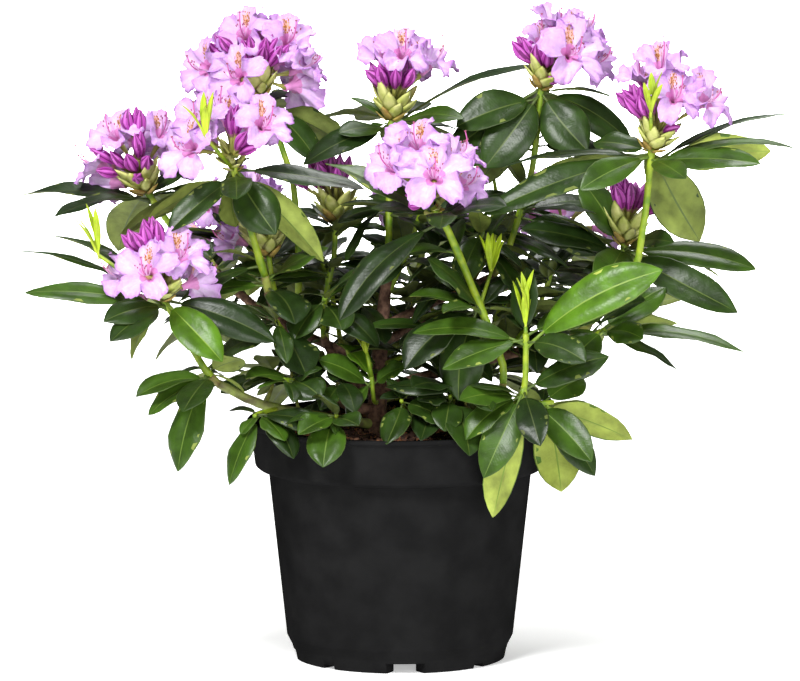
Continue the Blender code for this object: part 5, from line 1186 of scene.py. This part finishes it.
def add_scale(scales, foot, ahead, away, length, width, slot, chance):
    """A bract: a pointed scale, hollow on the inside."""
    across = ahead.cross(away).normalized()
    away = across.cross(ahead).normalized()
    rows, columns = 6, 5
    outer, inner = [], []
    lean = chance.uniform(0.05, 0.3)
    for row in range(rows):
        q = row / (rows - 1)
        half = width * 0.5 * max(0.06, (math.sin(math.pi * (0.22 + 0.78 * q)) ** 0.8))
        for column in range(columns):
            u = 2 * column / (columns - 1) - 1
            bulge = math.sin(math.pi * q) * 0.12 * length + lean * length * q * q
            point = foot + ahead * length * q + across * u * half + away * (bulge - 0.5 * half * u * u)
            outer.append(point)
            inner.append(point - away * 0.5 * MM)
    faces = grid_faces(rows, columns, False)
    number = {}
    vertices = list(outer)
    for row in range(1, rows - 1):
        for column in range(1, columns - 1):
            number[row * columns + column] = len(vertices)
            vertices.append(inner[row * columns + column])
    lower = [tuple(number.get(i, i) for i in reversed(f)) for f in faces]
    scales.add(vertices, faces + lower, slot)


def finer_leaves(space, shoot, number, curve):
    """Smaller leaves among those of a seeded whorl, where they are clear."""
    whorl = shoot.whorls[number]
    middle = along(curve, whorl.at)[0]
    placed = []
    for k in range(FINER_LEAVES if whorl.count > 1 else 1):
        chance = random.Random(f"{shoot.name} {number} finer {k}")
        centre, half = whorl.fan
        turn = math.radians(centre + chance.uniform(-1.1, 1.1) * half)
        pitch = math.radians(chance.uniform(-30, 35))
        reach = whorl.reach * CM * chance.uniform(*FINER_REACH)
        arm = Vector((math.cos(turn) * math.cos(pitch), math.sin(turn) * math.cos(pitch), math.sin(pitch)))
        leaf = Leaf(middle, middle + arm * reach, reach * SPREAD * chance.uniform(0.95, 1.2),
                    chance.uniform(-25, 25), BOW, PLAIN_STATIONS)
        leaf = place_leaf(space, shoot.name, leaf, middle, False)
        if leaf:
            placed.append(leaf)
    return placed


def side_twigs(space, limbs):
    """Short leafy twigs that stand up from the boughs, each a curve and its leaves."""
    twigs = []
    for name, (curve, foot, tip) in limbs.items():
        for place in TWIG_PLACES:
            chance = random.Random(f"{name} twig {place}")
            base, ahead = along(curve, place)
            turn = chance.uniform(0, 2 * math.pi)
            arm = Vector((math.cos(turn), math.sin(turn), chance.uniform(0.3, 1.2))).normalized()
            top = base + arm * TWIG_LENGTH * chance.uniform(0.7, 1.3)
            stem = [base, base.lerp(top, 0.5) - UP * 0.15 * CM, top]
            if not space.free(name, tube_solid(stem, 0.14 * CM, 0.12 * CM, 4), False):
                continue
            space.add(name, tube_solid(stem, 0.14 * CM, 0.12 * CM, 4))
            leaves = []
            for k in range(TWIG_LEAVES):
                swing = k * GOLDEN_ANGLE + turn
                pitch = chance.uniform(-0.6, 0.4)
                reach = TWIG_REACH * CM * chance.uniform(0.7, 1.1)
                aim = Vector((math.cos(swing) * math.cos(pitch), math.sin(swing) * math.cos(pitch), math.sin(pitch)))
                leaf = Leaf(top - arm * 0.12 * CM * k, top + aim * reach, reach * SPREAD * chance.uniform(1.0, 1.3),
                            chance.uniform(-25, 25), BOW, PLAIN_STATIONS)
                leaf = place_leaf(space, name, leaf, top, False)
                if leaf:
                    leaves.append(leaf)
            twigs.append((name, stem, leaves))
    return twigs


def shader(name, colour, roughness, **more):
    """A Principled material with uniform values on its own sockets."""
    material = bpy.data.materials.new(name)
    material.use_nodes = True
    made = material.node_tree.nodes["Principled BSDF"]
    made.inputs["Base Color"].default_value = (*colour, 1.0)
    made.inputs["Roughness"].default_value = roughness
    for socket, value in more.items():
        made.inputs[socket.replace("_", " ")].default_value = value
    return material


def node(material, kind, inputs=None, **settings):
    made = material.node_tree.nodes.new(kind)
    for name, value in settings.items():
        setattr(made, name, value)
    for name, value in (inputs or {}).items():
        if hasattr(value, "links"):
            material.node_tree.links.new(value, made.inputs[name])
        else:
            made.inputs[name].default_value = value
    return made


def mottle(material, colour, other, scale, low=0.35, high=0.65, detail=3.0):
    """Base colour that drifts between two colours by noise."""
    tree = material.node_tree
    place = node(material, "ShaderNodeTexCoord").outputs["Object"]
    grain = node(material, "ShaderNodeTexNoise", {"Vector": place, "Scale": scale, "Detail": detail})
    ramp = node(material, "ShaderNodeValToRGB", {"Fac": grain.outputs["Fac"]})
    ramp.color_ramp.elements[0].position = low
    ramp.color_ramp.elements[1].position = high
    ramp.color_ramp.elements[0].color = (*colour, 1.0)
    ramp.color_ramp.elements[1].color = (*other, 1.0)
    tree.links.new(ramp.outputs["Color"], tree.nodes["Principled BSDF"].inputs["Base Color"])
    return ramp


def relief(material, scale, strength, distance, detail=4.0, stretch=(1.0, 1.0, 1.0)):
    """Bump from noise, in the object's own space."""
    tree = material.node_tree
    place = node(material, "ShaderNodeTexCoord").outputs["Object"]
    place = node(material, "ShaderNodeMapping", {"Vector": place, "Scale": stretch}).outputs["Vector"]
    grain = node(material, "ShaderNodeTexNoise", {"Vector": place, "Scale": scale, "Detail": detail})
    bump = node(material, "ShaderNodeBump",
                {"Height": grain.outputs["Fac"], "Strength": strength, "Distance": distance})
    tree.links.new(bump.outputs["Normal"], tree.nodes["Principled BSDF"].inputs["Normal"])


def leaf_skin(name, colour, vein_strength, roughness):
    """Leaf surface: mottled green, with side veins as fine relief laid out along the blade."""
    material = shader(name, colour, roughness, Specular_IOR_Level=0.35)
    tree = material.node_tree
    mottle(material, tuple(c * 0.72 for c in colour), tuple(min(1.0, c * 1.4) for c in colour), 60.0, detail=5.0)
    place = node(material, "ShaderNodeUVMap", uv_map="place").outputs["UV"]
    split = node(material, "ShaderNodeSeparateXYZ", {"Vector": place})
    away = node(material, "ShaderNodeMath", {0: split.outputs["X"], 1: 0.5}, operation="SUBTRACT")
    away = node(material, "ShaderNodeMath", {0: away.outputs[0]}, operation="ABSOLUTE")
    swept = node(material, "ShaderNodeMath", {0: away.outputs[0], 1: -0.28}, operation="MULTIPLY")
    run = node(material, "ShaderNodeMath", {0: split.outputs["Y"], 1: swept.outputs[0]}, operation="ADD")
    wave = node(material, "ShaderNodeMath", {0: run.outputs[0], 1: 88.0}, operation="MULTIPLY")
    wave = node(material, "ShaderNodeMath", {0: wave.outputs[0]}, operation="SINE")
    ridge = node(material, "ShaderNodeMath", {0: wave.outputs[0]}, operation="ABSOLUTE")
    ridge = node(material, "ShaderNodeMath", {0: ridge.outputs[0], 1: 0.35}, operation="POWER")
    veins = node(material, "ShaderNodeBump",
                 {"Height": ridge.outputs[0], "Strength": vein_strength, "Distance": 0.3 * MM})
    spot = node(material, "ShaderNodeTexCoord").outputs["Object"]
    grain = node(material, "ShaderNodeTexNoise", {"Vector": spot, "Scale": 140.0, "Detail": 4.0})
    bump = node(material, "ShaderNodeBump", {"Height": grain.outputs["Fac"], "Strength": 0.35,
                                             "Distance": 1.6 * MM, "Normal": veins.outputs["Normal"]})
    tree.links.new(bump.outputs["Normal"], tree.nodes["Principled BSDF"].inputs["Normal"])
    return material


def leaf_tint(shoot, number, k, aimed, chance):
    """Which green a leaf is: fresh on some shoots and leaves as the photo shows, darker greens on inner and back
    shoots as painted shade, else dealt out.
    """
    if (shoot.name, number, k) in FRESH_LEAVES and aimed:
        return "fresh"
    if shoot.name in FRESH_SHOOTS:
        return chance.choice(("green", "fresh", "green"))
    # Inner and back shoots get mostly the darkest green: painted shade inside and behind the crown.
    if "inner" in shoot.name or "back" in shoot.name:
        return chance.choice(("dark", "dark", "deep"))
    return chance.choice(("dark", "deep", "deep", "green"))


FRESH_SHOOTS = ("leafy_shoot_young_centre",)
FRESH_LEAVES = (("leafy_shoot_front_right", 0, 0), ("flowering_shoot_left_front", 0, 4),
                ("flowering_shoot_right", 0, 3), ("leafy_shoot_front_right", 1, 6),
                ("leafy_shoot_low_right", 0, 2), ("leafy_shoot_low_right", 0, 5))


def grow(limbs, plans, space):
    """All leaves by tint, and the stems, in joined pieces."""
    piles = {tint: Pile() for tint in FOLIAGE_TINTS}
    stems, new_wood = Pile(), Pile()
    shoots = [shoot.name for shoot in SHOOTS]
    finer = {}
    for shoot in SHOOTS:
        plan = plans[shoot.name]
        finer[shoot.name] = []
        for number in range(len(shoot.whorls)):
            finer[shoot.name] += finer_leaves(space, shoot, number, plan["curve"])
    for shoot in SHOOTS:
        plan = plans[shoot.name]
        for number, k, leaf in plan["numbered"]:
            chance = random.Random(f"{shoot.name} look {number} {k}")
            aimed = k < len(shoot.whorls[number].aims)
            add_leaf(piles[leaf_tint(shoot, number, k, aimed, chance)], leaf, chance)
        for k, leaf in enumerate(finer[shoot.name]):
            chance = random.Random(f"{shoot.name} finer look {k}")
            add_leaf(piles[leaf_tint(shoot, -1, k, False, chance)], leaf, chance)
        for k, leaf in enumerate(plan["young"]):
            chance = random.Random(f"{shoot.name} young look {k}")
            aside = Vector((chance.uniform(-0.6, 0.6), chance.uniform(-0.6, 0.6), chance.uniform(-0.5, 0.1))) * CM
            slim = leaf._replace(tip=leaf.tip + aside, width=leaf.width * chance.uniform(0.6, 0.8))
            add_leaf(piles["young"], slim, chance, (0.5, 0.9))
        add_stem(stems, new_wood, shoot, plan)
    for name, stem, leaves in side_twigs(space, limbs):
        add_tube(stems, [stem[0], stem[1], stem[2]], [0.16 * CM, 0.14 * CM, 0.13 * CM], 8, 1)
        for k, leaf in enumerate(leaves):
            chance = random.Random(f"{name} twig look {k} {leaf.tip.x:.4f}")
            # Twig leaves inside the crown get mostly the darkest green: painted shade.
            add_leaf(piles[chance.choice(("dark", "dark", "deep"))], leaf, chance)
    for tint, pile in piles.items():
        # The rim colour is the lighter margin green, painted backlight.
        upper, rib, under, rim = FOLIAGE_TINTS[tint]
        skins = [leaf_skin(f"leaf_{tint}", upper, 0.14, 0.36 if tint != "young" else 0.5),
                 shader(f"leaf_rib_{tint}", rib, 0.5),
                 leaf_skin(f"leaf_under_{tint}", under, 0.3, 0.65),
                 shader(f"leaf_rim_{tint}", rim, 0.5)]
        made = pile.make(f"leaves_{tint}", skins, "foliage")
        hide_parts(*shoots)
        print(made.name, len(pile.faces) * 2)
    green_bark = shader("green_stem", (0.22, 0.34, 0.012), 0.5)
    mottle(green_bark, (0.13, 0.25, 0.008), (0.33, 0.43, 0.022), 110.0)
    relief(green_bark, 350.0, 0.25, 0.4 * MM)
    old_stem = shader("old_stem", (0.20, 0.20, 0.04), 0.7)
    mottle(old_stem, (0.15, 0.11, 0.035), (0.28, 0.32, 0.05), 120.0)
    relief(old_stem, 300.0, 0.5, 0.6 * MM)
    made = stems.make("shoot_stems", [green_bark, old_stem], "foliage")
    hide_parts(*shoots)


def add_stem(stems, new_wood, shoot, plan):
    """A shoot's stem: woody at its foot and green above, swollen a little at each whorl."""
    points = [along(plan["curve"], k / 24)[0] for k in range(25)]
    radius = shoot.thick * CM
    radii = []
    for k in range(25):
        share = k / 24
        swell = sum(0.16 * math.exp(-((share - w.at) * 16) ** 2) for w in shoot.whorls)
        radii.append(radius * (1.0 - 0.12 * share) * (0.92 + swell))
    old = 3
    add_tube(stems, points[:old + 1], radii[:old + 1], 14, 1)
    add_tube(stems, points[old:], radii[old:], 14, 0)
    for a, b in plan["stems"]:
        add_tube(stems, [a, a.lerp(b, 0.5), b], [0.2 * CM, 0.17 * CM, 0.15 * CM], 8, 0)


def bloom_out(plans):
    """Every flower head: open flowers, buds, and the scales round its foot."""
    heads = [s for s in SHOOTS if s.head]
    names = [s.name for s in heads]
    groups = (heads[:3], heads[3:6], heads[6:])
    details, buds, scales = Pile(), Pile(), Pile()
    for number, group in enumerate(groups):
        petals = Pile()
        for shoot in group:
            top = plans[shoot.name]["curve"][-1]
            buds_of_bunches = [bud for bunch in shoot.head.bunches for bud in bunch_buds(shoot, bunch, top)]
            for k, floret in enumerate(plans[shoot.name]["florets"] + buds_of_bunches):
                chance = random.Random(f"{shoot.name} flower look {k}")
                if floret.kind == "open":
                    add_flower(petals, details, floret, chance)
                else:
                    add_bud(buds, details, floret, chance)
            add_head_scales(scales, shoot, top)
        rims = [shader(f"petal_{k}", colour, 0.6) for k, colour in enumerate(PETAL_TINTS)]
        for k, rim in enumerate(rims):
            colour = PETAL_TINTS[k]
            mottle(rim, tuple(c * 0.9 for c in colour), tuple(min(1.0, c * 1.08) for c in colour), 160.0)
            rim.node_tree.nodes["Principled BSDF"].inputs["Subsurface Weight"].default_value = 0.25
            rim.node_tree.nodes["Principled BSDF"].inputs["Subsurface Radius"].default_value = (0.004, 0.002, 0.004)
        made = petals.make(f"petals_{number + 1}", rims, "blossom")
        skin = made.modifiers.new("thickness", "SOLIDIFY")
        skin.thickness = PETAL_THICKNESS
        skin.offset = -1.0
        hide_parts(*names)
        print(made.name, len(petals.faces) * 4)
    made = details.make("stamens_and_stalks", [
        shader("flower_stalk", (0.30, 0.30, 0.06), 0.5), shader("fleck_rust", (0.42, 0.14, 0.02), 0.6),
        shader("filament", (0.78, 0.48, 0.70), 0.5), shader("anther", (0.36, 0.09, 0.16), 0.6),
        shader("pistil", (0.60, 0.12, 0.38), 0.5), shader("fleck_gold", (0.58, 0.30, 0.04), 0.6)], "blossom")
    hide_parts(*names)
    print(made.name, len(details.faces) * 2)
    # The third bud shader is painted shade for the creases, the fourth a painted highlight for the ridges.
    made = buds.make("flower_buds", [shader("bud_foot", (0.34, 0.16, 0.18), 0.5),
                                     shader("bud_pleat", (0.40, 0.045, 0.36), 0.5),
                                     shader("bud_crease", (0.17, 0.006, 0.14), 0.55),
                                     shader("bud_ridge", (0.55, 0.12, 0.51), 0.5)], "blossom")
    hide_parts(*names)
    print(made.name, len(buds.faces) * 2)
    pale = shader("scale_green", (0.58, 0.60, 0.15), 0.5)
    mottle(pale, (0.46, 0.52, 0.10), (0.70, 0.70, 0.26), 120.0)
    dry = shader("scale_dry", (0.42, 0.27, 0.06), 0.6)
    mottle(dry, (0.30, 0.17, 0.04), (0.52, 0.40, 0.09), 150.0)
    made = scales.make("bud_scales", [pale, dry], "foliage")
    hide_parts(*names)
    print(made.name, len(scales.faces) * 2)


def add_head_scales(scales, shoot, top):
    """Scales in a spiral round the foot of a head: a tall cup of them where most of its flowers are shut."""
    head = shoot.head
    axis = Vector(head.lean).normalized()
    across = axis.orthogonal().normalized()
    other = axis.cross(across)
    shut = sum(bunch[3] for bunch in head.bunches) > len(head.opens)
    count = 18 if shut else 12
    for k in range(count):
        chance = random.Random(f"{shoot.name} scale {k}")
        q = k / (count - 1)
        turn = k * GOLDEN_ANGLE
        away = across * math.cos(turn) + other * math.sin(turn)
        foot = top + axis * (-0.6 + 1.3 * q) * CM + away * (0.35 + 0.35 * q) * CM
        ahead = (axis + away * (0.85 - 0.45 * q)).normalized()
        length = (0.9 + 1.9 * math.sqrt(q)) * CM * (1.0 if shut else 0.62) * chance.uniform(0.88, 1.12)
        add_scale(scales, foot, ahead, away, length, length * 0.58, 1 if q < 0.24 else 0, chance)


PETAL_TINTS = (
    (0.76, 0.57, 0.84), (0.74, 0.51, 0.83), (0.71, 0.45, 0.81), (0.66, 0.38, 0.77), (0.57, 0.29, 0.70),
    (0.46, 0.20, 0.60), (0.70, 0.27, 0.58), (0.77, 0.44, 0.38),
)


def woody_limbs(limbs):
    """Trunk and boughs with the relief of their bark."""
    bark = Pile()
    for limb in LIMBS:
        curve, foot, tip = limbs[limb.name]
        count = 40
        points = [along(curve, k / (count - 1))[0] for k in range(count)]
        flare = ROOT_FLARE if not limb.carrier else 0.12
        radii = [foot + (tip - foot) * k / (count - 1) + foot * flare * math.exp(-14 * k / (count - 1))
                 for k in range(count)]
        vertices, faces = tube_shape(points, radii, 18)
        rough = []
        for i, vertex in enumerate(vertices):
            core = points[i // 18]
            out = vertex - core
            around = noise.noise(Vector((vertex.x * 420, vertex.y * 420, vertex.z * 150)))
            knot = noise.noise(vertex * 130)
            rough.append(core + out * (1 + 0.10 * around + 0.10 * knot))
        green = limb.name in ("bough_left_low", "bough_right_front")
        bark.add(rough, faces, 1 if green else 0)
    brown = shader("bark_brown", (0.13, 0.06, 0.035), 0.85)
    mottle(brown, (0.07, 0.03, 0.018), (0.22, 0.12, 0.075), 220.0)
    relief(brown, 260.0, 0.8, 1.0 * MM, stretch=(1.0, 1.0, 0.3))
    green = shader("bark_green", (0.17, 0.20, 0.05), 0.6)
    mottle(green, (0.13, 0.12, 0.045), (0.27, 0.33, 0.07), 110.0)
    relief(green, 260.0, 0.5, 0.7 * MM)
    made = bark.make("woody_limbs", [brown, green], "bark")
    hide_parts(*[limb.name for limb in LIMBS])
    print(made.name, len(bark.faces) * 2)


def rounded(profile, radius, steps=3):
    """The profile with each corner off the axis turned into a small curve."""
    points = [profile[0]]
    for before, here, after in zip(profile, profile[1:], profile[2:]):
        a, b, c = (Vector((p[0], p[1], 0.0)) for p in (before, here, after))
        back = min(radius, (a - b).length * 0.4)
        on = min(radius, (c - b).length * 0.4)
        start = b + (a - b).normalized() * back
        end = b + (c - b).normalized() * on
        for k in range(steps + 1):
            t = k / steps
            point = start * (1 - t) ** 2 + b * 2 * t * (1 - t) + end * t * t
            points.append((point.x, point.y))
    points.append(profile[-1])
    return points


def moulded_pot():
    """The pot, turned finely with soft edges, and notched round its foot."""
    shape = lathe_solid(rounded(pot_profile(), 1.1 * MM), 180)
    pile = Pile()
    pile.add(shape[0], shape[1], 0)
    plastic = shader("pot_plastic", (0.012, 0.012, 0.012), 0.6, Specular_IOR_Level=0.0)
    mottle(plastic, (0.010, 0.010, 0.0102), (0.014, 0.014, 0.0142), 35.0)
    relief(plastic, 900.0, 0.08, 0.2 * MM)
    pot = pile.make("moulded_pot", [plastic], "pot_plastic")
    pot.data.set_sharp_from_angle(angle=math.radians(40))
    cutters = []
    for k in range(8):
        turn = math.radians(45 * k - 87)
        across = Vector((-math.sin(turn), math.cos(turn), 0.0))
        ahead = Vector((math.cos(turn), math.sin(turn), 0.0))
        wide = k % 2 == 0
        outer = (NOTCH_WIDTH if wide else STEP_WIDTH) / 2
        inner = (NOTCH_INNER_WIDTH if wide else STEP_WIDTH) / 2
        top = FOOT_HEIGHT - 0.5 * MM if wide else STEP_HEIGHT
        near, far = FOOT_RING_RADIUS - 4 * MM, BASE_RIDGE_RADIUS + 6 * MM
        corners = [ahead * near - across * inner, ahead * far - across * outer,
                   ahead * far + across * outer, ahead * near + across * inner]
        vertices = [c - UP * 5 * MM for c in corners] + [c + UP * top for c in corners]
        faces = [(0, 1, 2, 3), (4, 7, 6, 5), (0, 4, 5, 1), (1, 5, 6, 2), (2, 6, 7, 3), (3, 7, 4, 0)]
        vertices, faces = outward(vertices, faces)
        mesh = bpy.data.meshes.new("notch")
        mesh.from_pydata([tuple(v) for v in vertices], [], faces)
        cutter = bpy.data.objects.new("notch", mesh)
        bpy.context.scene.collection.objects.link(cutter)
        cutters.append(cutter)
    for cutter in cutters:
        cut = pot.modifiers.new("notch", "BOOLEAN")
        cut.operation = "DIFFERENCE"
        cut.solver = "EXACT"
        cut.object = cutter
    bpy.context.view_layer.update()
    finished = bpy.data.meshes.new_from_object(pot.evaluated_get(bpy.context.evaluated_depsgraph_get()))
    pot.modifiers.clear()
    pot.data = finished
    for cutter in cutters:
        bpy.data.objects.remove(cutter)
    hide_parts("pot")


def planting_mix():
    """The potting mix: a crumbly top with bark chips, inside the pot's wall."""
    profile = list(soil_profile())
    rim = profile[5][0]
    steps, rings = 150, 42
    lower = [(r, z) for r, z in profile[1:5]]
    vertices, faces = [], []
    radii = [(r, z) for r, z in lower] + [(rim * (1 - k / rings), SOIL_TOP) for k in range(rings)]
    for i, (radius, height) in enumerate(radii):
        for k in range(steps):
            turn = 2 * math.pi * k / steps
            x, y, z = radius * math.cos(turn), radius * math.sin(turn), height
            if i > len(lower):
                z += (noise.noise(Vector((x * 60, y * 60, 3.0))) * 2.6 + noise.noise(Vector((x * 190, y * 190, 7.0))) * 1.9) * MM
            vertices.append(Vector((x, y, z)))
    faces = grid_faces(len(radii), steps, True)
    vertices.append(Vector((0.0, 0.0, SOIL_TOP)))
    last = len(vertices) - 1
    first = (len(radii) - 1) * steps
    faces += [(first + k, first + (k + 1) % steps, last) for k in range(steps)]
    faces.append(tuple(range(steps))[::-1])
    pile = Pile()
    pile.add(vertices, faces, 0)
    chance = random.Random("bark chips")
    for k in range(CHIPS):
        radius = rim * math.sqrt(chance.random()) * 0.97
        turn = chance.uniform(0, 2 * math.pi)
        centre = Vector((radius * math.cos(turn), radius * math.sin(turn), SOIL_TOP + chance.uniform(-0.5, 3.0) * MM))
        long = Vector((chance.uniform(-1, 1), chance.uniform(-1, 1), chance.uniform(-0.35, 0.35))).normalized()
        wide = long.orthogonal().normalized()
        thick = long.cross(wide)
        spin = chance.uniform(-0.6, 0.6)
        wide, thick = wide * math.cos(spin) + thick * math.sin(spin), thick * math.cos(spin) - wide * math.sin(spin)
        size = chance.uniform(1.6, 6.0) * MM
        sizes = (size, size * chance.uniform(0.3, 0.7), size * chance.uniform(0.15, 0.4))
        corners = []
        for a in (-1, 1):
            for b in (-1, 1):
                for c in (-1, 1):
                    corners.append(centre + (long * a * sizes[0] + wide * b * sizes[1]
                                             + thick * c * sizes[2]) * chance.uniform(0.7, 1.1))
        box = [(0, 1, 3, 2), (4, 6, 7, 5), (0, 4, 5, 1), (2, 3, 7, 6), (0, 2, 6, 4), (1, 5, 7, 3)]
        corners, box = outward(corners, box)
        pile.add(corners, box, 1 + chance.choice((0, 0, 0, 1, 1, 2)))
    peat = shader("peat", (0.028, 0.012, 0.008), 0.95)
    mottle(peat, (0.014, 0.007, 0.005), (0.055, 0.024, 0.014), 260.0)
    relief(peat, 500.0, 1.0, 1.5 * MM)
    chips = [shader("chip_dark", (0.045, 0.018, 0.010), 0.9), shader("chip_brown", (0.10, 0.042, 0.020), 0.85),
             shader("chip_orange", (0.22, 0.085, 0.030), 0.85)]
    made = pile.make("peat_and_chips", [peat] + chips, "potting_mix", smooth=False)
    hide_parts("potting_mix")
    print(made.name, len(pile.faces) * 2)


CHIPS = 1500


def area_light(name, place, aim, size, power, colour=(1.0, 1.0, 1.0)):
    lamp = bpy.data.lights.new(name, "AREA")
    lamp.shape = "DISK"
    lamp.size = size
    lamp.energy = power
    lamp.color = colour
    made = bpy.data.objects.new(name, lamp)
    made.location = place
    made.rotation_euler = (Vector(aim) - Vector(place)).to_track_quat("-Z", "Y").to_euler()
    bpy.context.scene.collection.objects.link(made)
    return made


def studio():
    """Pale floor, soft light and the camera."""
    mesh = bpy.data.meshes.new("floor")
    mesh.from_pydata([(-60, -60, 0), (60, -60, 0), (60, 60, 0), (-60, 60, 0)], [], [(0, 1, 2, 3)])
    floor = bpy.data.objects.new("floor", mesh)
    bpy.context.scene.collection.objects.link(floor)
    mesh.materials.append(shader("floor_pale", (0.95, 0.95, 0.95), 0.9, Emission_Color=(1.0, 1.0, 1.0, 1.0),
                                 Emission_Strength=0.42))
    world = bpy.data.worlds.new("studio")
    world.use_nodes = True
    world.node_tree.nodes["Background"].inputs["Color"].default_value = (1.0, 1.0, 1.0, 1.0)
    world.node_tree.nodes["Background"].inputs["Strength"].default_value = 0.12
    bpy.context.scene.world = world
    bpy.context.scene.view_settings.view_transform = "Standard"
    area_light("key", (-1.5, -3.0, 3.6), (0.0, 0.0, 0.3), 1.4, 240)
    area_light("fill", (1.4, -4.2, 1.5), (0.0, 0.0, 0.25), 1.8, 85)
    area_light("top", (0.6, 1.4, 3.2), (0.0, 0.0, 0.35), 1.6, 70)
    backdrop = area_light("backdrop", (0.0, 4.4, 3.0), (0.0, 4.4, 0.0), 4.0, 420)
    backdrop.data.spread = math.radians(70)
    camera = bpy.data.cameras.new("camera")
    camera.lens = 375.0
    camera.sensor_width = 36.0
    camera.clip_end = 200.0
    made = bpy.data.objects.new("camera", camera)
    made.location = (0.0, -7.0, 1.252)
    aim = Vector((0.0, 0.0, 0.271))
    made.rotation_euler = (aim - made.location).to_track_quat("-Z", "Y").to_euler()
    bpy.context.scene.collection.objects.link(made)
    bpy.context.scene.camera = made


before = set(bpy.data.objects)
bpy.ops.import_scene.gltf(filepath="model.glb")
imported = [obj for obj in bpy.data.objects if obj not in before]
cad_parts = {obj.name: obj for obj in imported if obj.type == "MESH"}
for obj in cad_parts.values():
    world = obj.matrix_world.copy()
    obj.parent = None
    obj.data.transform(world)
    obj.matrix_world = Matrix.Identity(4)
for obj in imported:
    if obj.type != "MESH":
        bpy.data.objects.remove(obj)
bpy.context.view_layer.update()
studio()
limbs, plans, space = plan_shoots()
moulded_pot()
planting_mix()
woody_limbs(limbs)
grow(limbs, plans, space)
bloom_out(plans)
